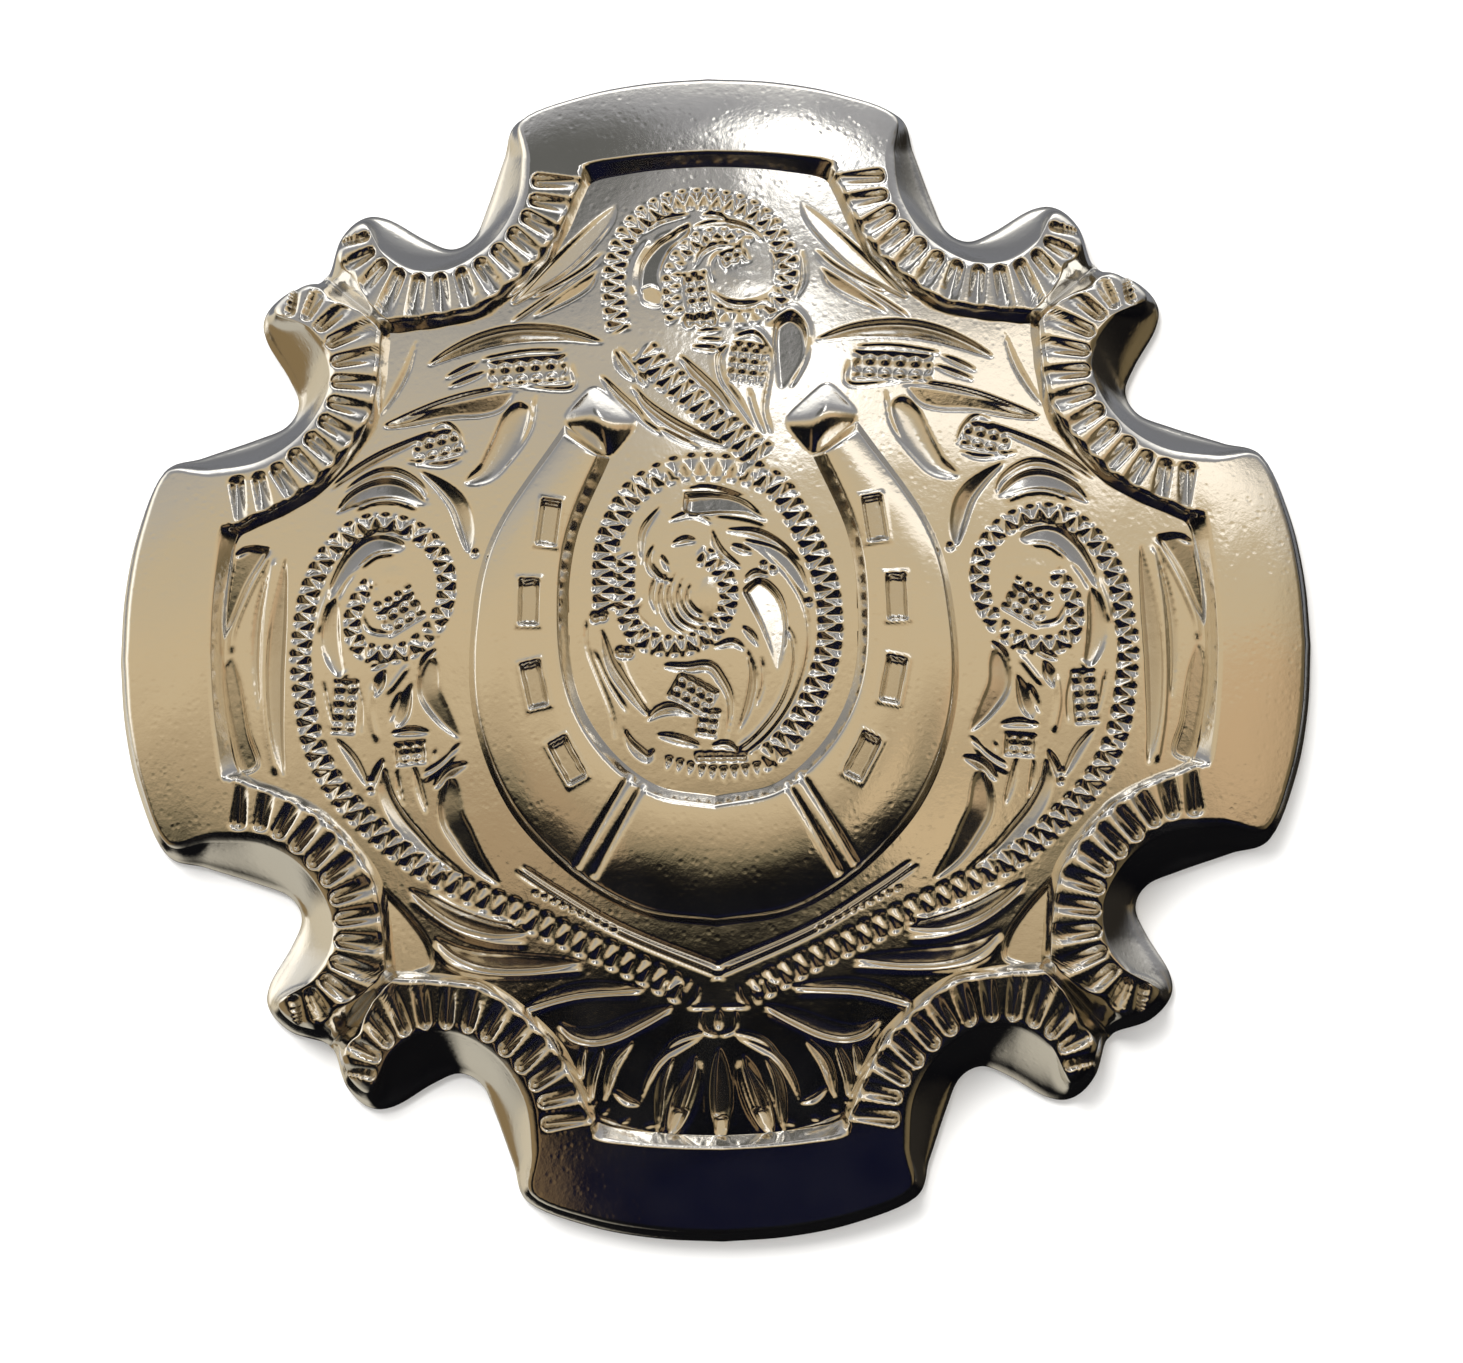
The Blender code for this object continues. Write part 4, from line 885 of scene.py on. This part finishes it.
# The scroll inside the shoe and the one above it have no mirrored twin
centreScroll = dict(
    cuts=[
        ([-0.85, 4.72, -0.1, 4.76, 1.1, 4.45], 0.18),
        ([0.45, 3.42, 1.3, 3.32, 2, 2.98, 2.8, 2.3], 0.28),
        ([0.9, 3.1, 1.9, 2.75, 2.5, 2.2, 2.95, 1.45], 0.5, 0.2, 0.6),
        ([0, 3.45, 0.1, 3, 0.35, 2.6, 0.9, 2.2], 0.26), ([0.6, 2.92, 1.25, 2.68], 0.22),
        ([-1.25, 2.98, -0.85, 3.12, -0.5, 3.08], 0.22), ([-1.35, 3.75, -0.6, 3.95, 0, 3.65], 0.2),
        ([-1.82, 3, -1.98, 2.45, -1.7, 2, -1.25, 1.78], 0.24), ([-1.62, 2.65, -1.35, 2.15], 0.16),
        ([-0.7, 1.75, -0.8, 1.2, -0.5, 0.8, -0.05, 0.72], 0.18),
        ([-0.94, 1.9, -1.08, 1.25, -0.78, 0.68, -0.2, 0.44], 0.2),
        ([-1.15, 2.1, -1.35, 1.35, -1.08, 0.6, -0.4, 0.2], 0.2),
        ([-1.4, 2.1, -1.62, 1.3, -1.35, 0.55, -0.85, 0.12], 0.2),
        ([-1.7, 2.15, -1.9, 1.4, -1.75, 0.8], 0.18), ([0, -0.3, 0.6, -0.15, 1, -0.4], 0.2),
        ([1, 1.8, 1.35, 2.02, 1.75, 1.95], 0.26),
        ([-1.55, -0.85, -0.85, -0.93, -0.15, -0.9, 0.2, -1.3, 0.45, -1.8, 0.5, -2.3, 0.38, -3.15],
          0.3, 0.26, 0.35),
        ([-2.1, -2.55, -1.7, -2.27, -1.2, -2.2, -0.65, -2.42], 0.36),
        ([-1.8, -3, -1.2, -3.15, -0.45, -3.38], 0.26),
        ([-2.85, -2.75, -2.6, -3.3, -2.1, -3.72, -1.9, -3.45], 0.32, 0.26, 0.6),
        ([0.9, 0.35, 1.15, 0.1, 1.4, -0.25], 0.22),
        ([-3.5, 0.35, -3.2, -0.8, -2.6, -1.7, -2.05, -2.45], 0.36),
        ([1.05, -0.35, 1.25, -1.2, 1.1, -2.1, 0.75, -2.95], 0.26),
        ([-1.6, 4.2, -2.15, 3.4, -2.2, 2.4], 0.22), ([-0.1, -3.4, 0.35, -3.35, 0.75, -3.6], 0.22),
    ],
    facets=[
        ([-0.85, 4.62, -0.2, 4.66, 0.6, 4.56, 1.2, 4.25, 1.75, 3.65, 1, 3.92, 0.2, 3.95, -0.8, 3.98],
          -0.07, 0.24),
        ([0.95, 1.5, 1.4, 1.88, 1.8, 1.7, 2.15, 1.25, 2.32, 0.6, 2.3, -0.1, 2.12, -0.85, 1.95, -1.05,
          1.75, -0.35, 1.5, 0.35, 1.22, 0.95], 0.03, 0.135),
    ],
    lines=[
        [-3.95, 0.65, -3.95, -0.2, -3.6, -1.2, -3.2, -2.3, -3.1, -3.1],
        [1.6, 1.6, 2.1, 0.6, 2.5, -0.1, 2.5, -1, 2.1, -2.1, 1.4, -3, 0.7, -3.6],
        [1.5, -0.6, 1.55, -1.4, 1.3, -2.2],
        [1.35, 3, 2.3, 2, 2.85, 1, 3, 0, 2.85, -1, 2.4, -2.1, 1.7, -3.05, 0.9, -3.7],
        [-2.5, 1.1, -2.3, 0.7, -1.8, 0.2], [-3.75, -0.3, -3.3, -1.3, -2.7, -2.3],
    ],
    ridges=[
        [0, 3.98, 1.1, 3.8, 1.75, 3.58], [-0.78, 4.72, -0.8, 3.98],
        [-2.2, 1.3, -2.42, 0.9, -2.05, 0.4, -1.6, 0.1],
        [2.35, 0.25, 2.4, -1, 2, -2.1, 1.3, -3, 0.65, -3.5], [-2.95, -0.45, -2.6, -1.4, -2.05, -2.25],
    ],
    zigzags=[
        ([-3.35, 0.95, -3.38, 1.8, -3.35, 2.6, -3.2, 3.3, -2.87, 4.05, -2.4, 4.7, -1.6, 5.2, -0.8, 5.45,
          0.2, 5.45, 1.2, 5.25, 2.1, 4.75, 2.6, 3.95, 2.95, 3.3, 3.3, 2.5, 3.55, 1.7, 3.65, 0.8, 3.65,
          0, 3.5, -0.8, 3.25, -1.5, 2.95, -2.2, 2.5, -2.9, 1.95, -3.5, 1.3, -3.92], 0.52, 0.4),
        ([-2.72, 2.75, -2.75, 2, -2.75, 1.2, -2.6, 0.5, -2.2, -0.02, -1.5, -0.22, -0.8, -0.2, -0.15,
          0.12, 0.32, 0.7, 0.5, 1.35, 0.35, 2, -0.05, 2.5, -0.5, 2.62], 0.44, 0.32, 0.9),
    ],
    teeth=[([-1.65, -3.9, 0, -4.28, 1.5, -4.15], 0.34, 0.22, 0.5)],
    beads=[
        (-0.65, -1.75, 1.4, 0.95, -30, 0.34), (-0.2, -2.65, 0.7, 0.9, -10, 0.34),
        (0.2, -3.72, 1.7, 0.34, 0, 0.34),
    ],
    pits=[
        ([1.6, 2.3, 1.9, 2.15, 3, 1.1], 0.14),
        ([-3.68, 0.72, -3.45, 0.76, -2.9, -0.4, -2.65, -0.42], 0.2),
    ],
    balls=[(-0.12, 1.3, 0.4, 0.75, 0.1)],
)
topScroll = dict(
    cuts=[
        ([0.05, 11.2, 0.55, 10.84, 1.2, 10.78, 1.8, 11, 2.2, 11.5], 0.24, 0.24, 0.5, -1),
        ([-0.2, 13.72, 0.2, 13.75, 0.65, 13.52], 0.24), ([-2.15, 13.15, -1.5, 13.6, -0.6, 13.78], 0.22),
        ([-2.45, 8.15, -2.05, 7.5, -1.35, 6.9, -0.5, 6.45, 0.5, 6.1], 0.46, 0.2),
        ([-1.65, 6.75, -1, 6.38, -0.35, 6.08], 0.2), ([-3.45, 8.5, -2.9, 7.8, -2.05, 7], 0.28),
        ([-0.95, 9.1, -0.5, 8.5, 0.1, 7.85, 0.7, 7.15], 0.42, 0.2),
        ([0.55, 9.4, 0.3, 9, 0.4, 8.3, 0.85, 7.6, 1.45, 6.6], 0.24, 0.22, 0.4),
        ([2, 9.95, 2.3, 10.2, 2.6, 10.25, 2.9, 9.95, 2.98, 9.5], 0.34, 0.25, 0.5, -1),
        ([-0.4, 9.86, 0.35, 9.9], 0.18), ([-0.4, 9.6, 0.45, 9.55], 0.14),
        ([-2.35, 8.5, -2.15, 8.35, -2, 8.1], 0.25), ([1.95, 12.6, 2.15, 12.1, 2, 11.5], 0.2),
        ([-0.5, 13.35, 0.3, 13.5, 1.2, 13.3, 1.75, 12.85], 0.24),
        ([-0.45, 12, -0.2, 12.5, 0.3, 12.75, 0.9, 12.7], 0.22), ([-3, 9.3, -2.8, 8.8, -2.4, 8.3], 0.3),
        ([2.95, 12.6, 3, 11.6, 2.7, 10.9], 0.2), ([-0.55, 9.35, 0, 9.3, 0.4, 9.2], 0.2),
    ],
    facets=[
        ([2, 9.6, 2.1, 10.1, 2.55, 10.35, 2.95, 10, 3.05, 9.25, 2.75, 8.5, 2.2, 7.95, 2.05, 8.75],
          -0.1, 0.13),
        ([-0.6, 13.5, -1.33, 13.1, -1.95, 12.5, -2.22, 11.86, -2.16, 11, -1.6, 10.66, -1.42, 11.2,
          -1.52, 11.86, -1.2, 12.6, -0.6, 13.15], -0.1, 0.08),
        ([-2.16, 11.35, -1.8, 11.45, -1.48, 11.1, -1.55, 10.7, -2.1, 10.85], 0.02, -0.2),
    ],
    lines=[
        [-3.4, 8.4, -2.9, 7.75, -2.1, 6.95, -1.5, 6.5], [0.35, 12.6, 0.05, 12.1, 0.15, 11.5],
        [0.75, 9.65, 1.4, 9.78, 1.75, 9.4, 1.9, 8.9, 1.85, 8.3, 1.7, 7.3, 1.9, 6.5],
        [3.1, 9.4, 2.95, 8.8, 2.5, 8], [-2.9, 9.4, -2.5, 8.9, -2, 8.2], [1.2, 8, 1.4, 7.2, 1.7, 6.5],
    ],
    ridges=[
        [0.5, 9.55, 0.18, 9.2, 0.15, 8.9, 0.3, 8.3, 0.62, 7.75, 1, 7.2, 1.35, 6.6],
        [0.8, 9.8, 1.4, 9.92, 1.82, 9.5, 2, 9.1],
        [1.8, 10.05, 2.2, 10.42, 2.55, 10.6, 2.85, 10.45, 3.1, 10, 3.15, 9.4],
        [-2.45, 8, -2.1, 7.4, -1.4, 6.8, -0.6, 6.3],
        [-0.9, 8.9, -0.6, 8.4, -0.2, 8, 0.3, 7.4, 0.7, 6.95], [-1.7, 12.9, -0.9, 13.25],
        [0.15, 10.98, 0.6, 10.66, 1.2, 10.62, 1.75, 10.85],
        [-1.9, 12.95, -2.3, 12.3, -2.45, 11.7, -2.4, 11.15],
    ],
    zigzags=[
        ([-2.85, 9.9, -3, 10.8, -3, 11.8, -2.75, 12.8, -2.2, 13.6, -1.3, 14.15, -0.2, 14.3, 0.9, 14.1,
          1.75, 13.6, 2.3, 12.8, 2.5, 12, 2.25, 11.1, 1.6, 10.5, 0.75, 10.36, 0, 10.5],
          0.44, 0.36, 0.85),
        ([-2.15, 9.35, -1.5, 8.5, -0.6, 7.75, 0.2, 7, 0.95, 6.3, 1.7, 5.75], 0.45, 0.45, 1, 0.3),
        ([-1, 10.1, -1.2, 10.9, -1.15, 11.8, -0.75, 12.6, -0.1, 13, 0.7, 13.05, 1.35, 12.75],
          0.42, 0.3, 0.8),
    ],
    beads=[
        (1.2, 8.8, 1.2, 1.35, -8, 0.36), (-0.4, 11.2, 0.8, 1.3, 8, 0.36),
        (-0.3, 10.25, 1.1, 0.5, 4, 0.36), (0.8, 12.3, 0.9, 0.7, 25, 0.32),
    ],
    balls=[(1.2, 11.5, 1.08, 0.7, 0.06)],
)
heelBlock = dict(foot=[2.3, 6.92, 3.68, 8.2, 4.7, 7.1, 3.2, 5.8], height=0.58, draft=0.78)
# Each kind of stroke with its tool, in the order in which they are cut
tools = dict(
    facets=facet, cuts=cut, scoops=scoop, lines=line, zigzags=zigzag, teeth=teeth, beads=beads,
    pits=pits, ridges=ridge, balls=ball,
)


def carve(motif, mirrors):
    # A stroke is a tuple for its tool, or a route alone
    for mirror in mirrors:
        for kind, tool in tools.items():
            for stroke in motif.get(kind, []):
                tool(*(stroke if isinstance(stroke, tuple) else (stroke,)), mirror=mirror)


for motif in (sideScroll, upperField, sideArm, lowerField):
    carve(motif, (1, -1))
for motif in (centreScroll, topScroll):
    carve(motif, (1,))
for side in (1, -1):
    block(heelBlock["foot"], heelBlock["height"], heelBlock["draft"], side)
# The bud's middle petal, its drop and the facet at its tip
cut([0, -12.7, 0.02, -14.1, 0, -15.55], 0.68, 0.24)
cut([0, -11.55, 0.01, -11.9, 0, -12.15], 0.24)
facet([-0.2, -14.8, 0.2, -14.8, 0.16, -15.4, -0.16, -15.4], 0, 0.4)


def soften(values):
    # One pass of a 1-2-1 filter both ways rounds every edge over by about a raster step
    for axis in (0, 1):
        values = (np.roll(values, 1, axis) + 2 * values + np.roll(values, -1, axis)) / 4
    return values


carved, dullAndShadeMap = soften(carved), soften(dullAndShadeMap)
carved += finish["wave"] * ripples(fieldPlan, finish["waveSize"], finish["waveSeed"])
carved += raster["grain"] * ripples(fieldPlan, raster["grainSize"], raster["grainSeed"]) * (0.3 + dullAndShadeMap)
print("field carved")


def anyCorner(mask):
    # True for each cell between points of which one or more is marked
    return mask[:-1, :-1] | mask[1:, :-1] | mask[:-1, 1:] | mask[1:, 1:]


def numbered(cells, start=0):
    # The corners of the marked cells, and a number for each of them, row by row
    used = anyCorner(np.pad(cells, 1))
    number = np.full(used.shape, -1)
    number[used] = np.arange(used.sum()) + start
    return used, number


def makeField(name, blocks):
    # Fine quads on top, one coarse quad under each block, a many-cornered wall face on each open side
    n = raster["block"]
    cells = np.kron(blocks, np.ones((n, n), bool))
    used, top = numbered(cells)
    held, coarse = numbered(blocks, used.sum())
    plan, under = fieldPlan[used], fieldPlan[::n, ::n][held]
    points = np.vstack([np.column_stack([plan, dome(plan) + carved[used]]),
                        np.column_stack([under, dome(under) - raster["buried"]])])
    # Duller plate and painted shade in the cuts, none under the blocks
    dullAndShade = np.concatenate([dullAndShadeMap[used], np.zeros(len(under))])
    y, x = np.nonzero(cells)
    face = np.stack([top[y, x], top[y, x + 1], top[y + 1, x + 1], top[y + 1, x]], axis=-1)
    y, x = np.nonzero(blocks)
    floor = np.stack([coarse[y, x], coarse[y + 1, x], coarse[y + 1, x + 1], coarse[y, x + 1]], axis=-1)

    walls = []
    padded = np.pad(blocks, 1)
    run = np.arange(n + 1)
    for dy, dx in ((-1, 0), (1, 0), (0, -1), (0, 1)):
        beside = padded[1 + dy:1 + dy + blocks.shape[0], 1 + dx:1 + dx + blocks.shape[1]]
        y, x = np.nonzero(blocks & ~beside)
        # A wall runs to the right along rows and upwards along columns, from the block's corner at y, x
        y, x = y + (dy > 0), x + (dx > 0)
        if dy:
            edge = top[y[:, None] * n, x[:, None] * n + run]
            ends = coarse[y, x], coarse[y, x + 1]
        else:
            edge = top[y[:, None] * n + run, x[:, None] * n]
            ends = coarse[y, x], coarse[y + 1, x]
        wall = np.hstack([ends[0][:, None], ends[1][:, None], edge[:, ::-1]])
        walls.append(wall if dy < 0 or dx > 0 else wall[:, ::-1])
    makePiece(name, points, [face], [floor] + walls, dullAndShade)


def mirrored(half):
    # A loop from its right half, which starts and ends on the middle line
    return np.vstack([half, (half * (-1, 1))[::-1]])


def makeFields():
    # Blocks of the raster inside the rim, apart from those wholly under the shoe, in five pieces
    corners = fieldPlan[::raster["block"], ::raster["block"]]
    rim = stretched(eighthToRing(throughPoints(pts(plate["inner"]), raster["rimSteps"])[None]))[0]
    outer, inner = (evenly(pts(shoe[k]), raster["shoeStep"]) for k in ("outer", "inner"))
    x, y = np.moveaxis((corners[:-1, :-1] + corners[1:, 1:]) / 2, -1, 0)
    seen = anyCorner(~inLoop(corners, mirrored(np.vstack([outer, inner[::-1]]))))
    centre = anyCorner(inLoop(corners, mirrored(inner))) & (y < raster["throatEnd"])
    outside = anyCorner(inLoop(corners, rim)) & seen & ~centre
    upper, lowest = y > raster["upperEdge"], y <= raster["lowerEdge"]
    makeField("centre_field", centre & seen)
    makeField("upper_field", outside & upper)
    makeField("right_field", outside & ~upper & ~lowest & (x > 0))
    makeField("left_field", outside & ~upper & ~lowest & (x <= 0))
    makeField("lower_field", outside & lowest)


makeFields()

# Studio: pale floor and soft light from above, in metres. The plate doesn't mirror them
studio = dict(
    floorSize=0.9, floorDrop=0.00002, floorColour="#f4f3f1",
    lightSize=0.25, lightPower=3.2, lightPlace=(-0.15, 0.25, 0.45),
)


def makeFloor():
    # One square just under the back
    half, z = studio["floorSize"] / 2, -studio["floorDrop"]
    mesh = bpy.data.meshes.new("floor")
    corners = [(-half, -half, z), (half, -half, z), (half, half, z), (-half, half, z)]
    mesh.from_pydata(corners, [], [(0, 1, 2, 3)])
    floor = bpy.data.objects.new("floor", mesh)
    bpy.context.scene.collection.objects.link(floor)
    material = bpy.data.materials.new("matt_white_board")
    material.use_nodes = True
    shader = material.node_tree.nodes["Principled BSDF"]
    shader.inputs["Base Color"].default_value = linear(studio["floorColour"])
    shader.inputs["Roughness"].default_value = 0.8
    mesh.materials.append(material)
    floor.visible_glossy = False


def makeLight():
    # A square softbox that looks at the origin
    light = bpy.data.lights.new("softbox", "AREA")
    light.shape = "SQUARE"
    light.size = studio["lightSize"]
    light.energy = studio["lightPower"]
    lamp = bpy.data.objects.new("softbox", light)
    place = np.array(studio["lightPlace"])
    lamp.matrix_world = aimed(place, place / np.linalg.norm(place))
    lamp.visible_glossy = False
    bpy.context.scene.collection.objects.link(lamp)


# What the plate mirrors, by direction. s = direction / (1.02 + height) is 0 overhead and about 1 at the
# horizon; for this camera it is close to the slope of the surface that mirrors it
room = dict(
    overhead=1.02, reach=2.0,  # bands run from -reach to reach
    bands=[  # position along the Y of s, colour
        (-2.0, "#101012"), (-0.6, "#08080c"), (-0.2, "#06070c"), (-0.155, "#0c0b0a"),
        (-0.122, "#2c281f"), (-0.095, "#756c54"), (-0.03, "#b9a482"), (0.05, "#d6c19d"),
        (0.16, "#cdbd9f"), (0.25, "#bfb8ac"), (0.34, "#a0a0a1"), (0.5, "#94959a"),
        (0.68, "#a9abb1"), (0.88, "#ffffff"), (1.2, "#f4f4f2"), (1.45, "#a2a4a8"), (2.0, "#7c7e84"),
    ],
    patches=[  # centre, half size, colour, strength
        ((0.0, 1.05), (0.6, 0.26), "#ffffff", 1.7),
        ((-0.14, 0.5), (0.11, 0.16), "#666766", 1.0),
        ((0.07, 0.50), (0.06, 0.13), "#ffffff", 2.6),
        ((0.14, 0.46), (0.05, 0.06), "#d2d6de", 1.0),
        ((0.11, 0.23), (0.09, 0.05), "#fff9ee", 1.25),
        ((0.05, 0.245), (0.055, 0.055), "#ffffff", 1.8),
        ((0.32, 0.23), (0.24, 0.06), "#fff6e8", 1.3),
        ((0.55, -0.02), (0.25, 0.1), "#cfb28c", 1.0),
        ((0.14, -0.065), (0.06, 0.035), "#d8bf98", 1.0),
        ((-0.14, -0.075), (0.07, 0.045), "#b29a78", 1.0),
        ((-1.25, 0.35), (0.5, 0.5), "#fffaf0", 1.5),
        ((-3.0, 0.3), (1.6, 1.2), "#d6cbb4", 1.0),
        ((-1.7, -1.6), (1.2, 1.3), "#c4bfb2", 1.0),
        ((-1.25, -0.45), (0.55, 0.4), "#8f7a58", 1.0),
        ((1.0, -0.1), (0.4, 0.5), "#6f6146", 1.0),
        ((3.0, 0.4), (1.8, 1.3), "#2a2723", 1.0),
        ((-0.24, -0.42), (0.09, 0.2), "#7a6448", 1.0),
        ((0.12, -0.5), (0.3, 0.2), "#090b22", 1.0),
    ],
    patchEdge=(0.3, 1.7), warp=0.03, warpScale=9.0, fill=0.9,
)


def makeRoom():
    # A ramp of bands, with oval patches over it: a patch fades smoothly with the sum of the squared
    # distances from its centre, each over its half size. Mirror rays see them, the rest see plain white
    world = bpy.data.worlds.new("room")
    bpy.context.scene.world = world
    world.use_nodes = True
    tree = world.node_tree
    tree.nodes.clear()
    heading = addNode(tree, "ShaderNodeTexCoord").outputs["Generated"]
    height = addNode(tree, "ShaderNodeSeparateXYZ", {0: heading}).outputs["Z"]
    under = addNode(tree, "ShaderNodeMath", {0: height, 1: room["overhead"]}, operation="ADD").outputs[0]
    plain = addNode(tree, "ShaderNodeVectorMath", {0: heading, 1: under}, operation="DIVIDE").outputs[0]
    noise = addNode(tree, "ShaderNodeTexNoise", {
        "Vector": heading, "Scale": room["warpScale"], "Detail": 4.0}).outputs["Fac"]
    shift = addNode(tree, "ShaderNodeMapRange", {
        "Value": noise, 1: 0.2, 2: 0.8, 3: -room["warp"], 4: room["warp"]}).outputs[0]
    slope = addNode(tree, "ShaderNodeVectorMath", {0: plain, 1: shift}, operation="ADD").outputs[0]
    slopeY = addNode(tree, "ShaderNodeSeparateXYZ", {0: slope}).outputs["Y"]
    at = addNode(tree, "ShaderNodeMapRange", {
        "Value": slopeY, 1: -room["reach"], 2: room["reach"]}).outputs[0]
    ramp = addNode(tree, "ShaderNodeValToRGB", {0: at})
    stops = ramp.color_ramp.elements
    stops[0].color, stops[1].color = linear(room["bands"][0][1]), linear(room["bands"][-1][1])
    for position, shade in room["bands"][1:-1]:
        stops.new((position / room["reach"] + 1) / 2).color = linear(shade)
    colour = ramp.outputs["Color"]
    inner, outer = room["patchEdge"]
    for (x, y), (wide, tall), shade, strength in room["patches"]:
        off = addNode(tree, "ShaderNodeVectorMath", {
            0: slope, 1: (x, y, 0.0)}, operation="SUBTRACT").outputs[0]
        far = addNode(tree, "ShaderNodeVectorMath", {
            0: off, 1: (1 / wide, 1 / tall, 0.0)}, operation="MULTIPLY").outputs[0]
        spread = addNode(tree, "ShaderNodeVectorMath", {
            0: far, 1: far}, operation="DOT_PRODUCT").outputs["Value"]
        share = addNode(tree, "ShaderNodeMapRange", {
            "Value": spread, 1: inner, 2: outer, 3: 1.0, 4: 0.0},
            interpolation_type="SMOOTHSTEP").outputs[0]
        bright = tuple(v * strength for v in linear(shade)[:3]) + (1.0,)
        colour = addNode(tree, "ShaderNodeMix", {
            0: share, 6: colour, 7: bright}, data_type="RGBA").outputs[2]
    path = addNode(tree, "ShaderNodeLightPath").outputs
    seen = addNode(tree, "ShaderNodeBackground", {"Color": colour, "Strength": 1.0}).outputs[0]
    white = addNode(tree, "ShaderNodeBackground", {
        "Color": (1.0, 1.0, 1.0, 1.0), "Strength": room["fill"]}).outputs[0]
    both = addNode(tree, "ShaderNodeMixShader", {0: path["Is Glossy Ray"], 1: white, 2: seen}).outputs[0]
    addNode(tree, "ShaderNodeOutputWorld", {0: both})


makeFloor()
makeLight()
makeRoom()
bpy.context.scene.view_settings.view_transform = "Standard"
print("studio ready")
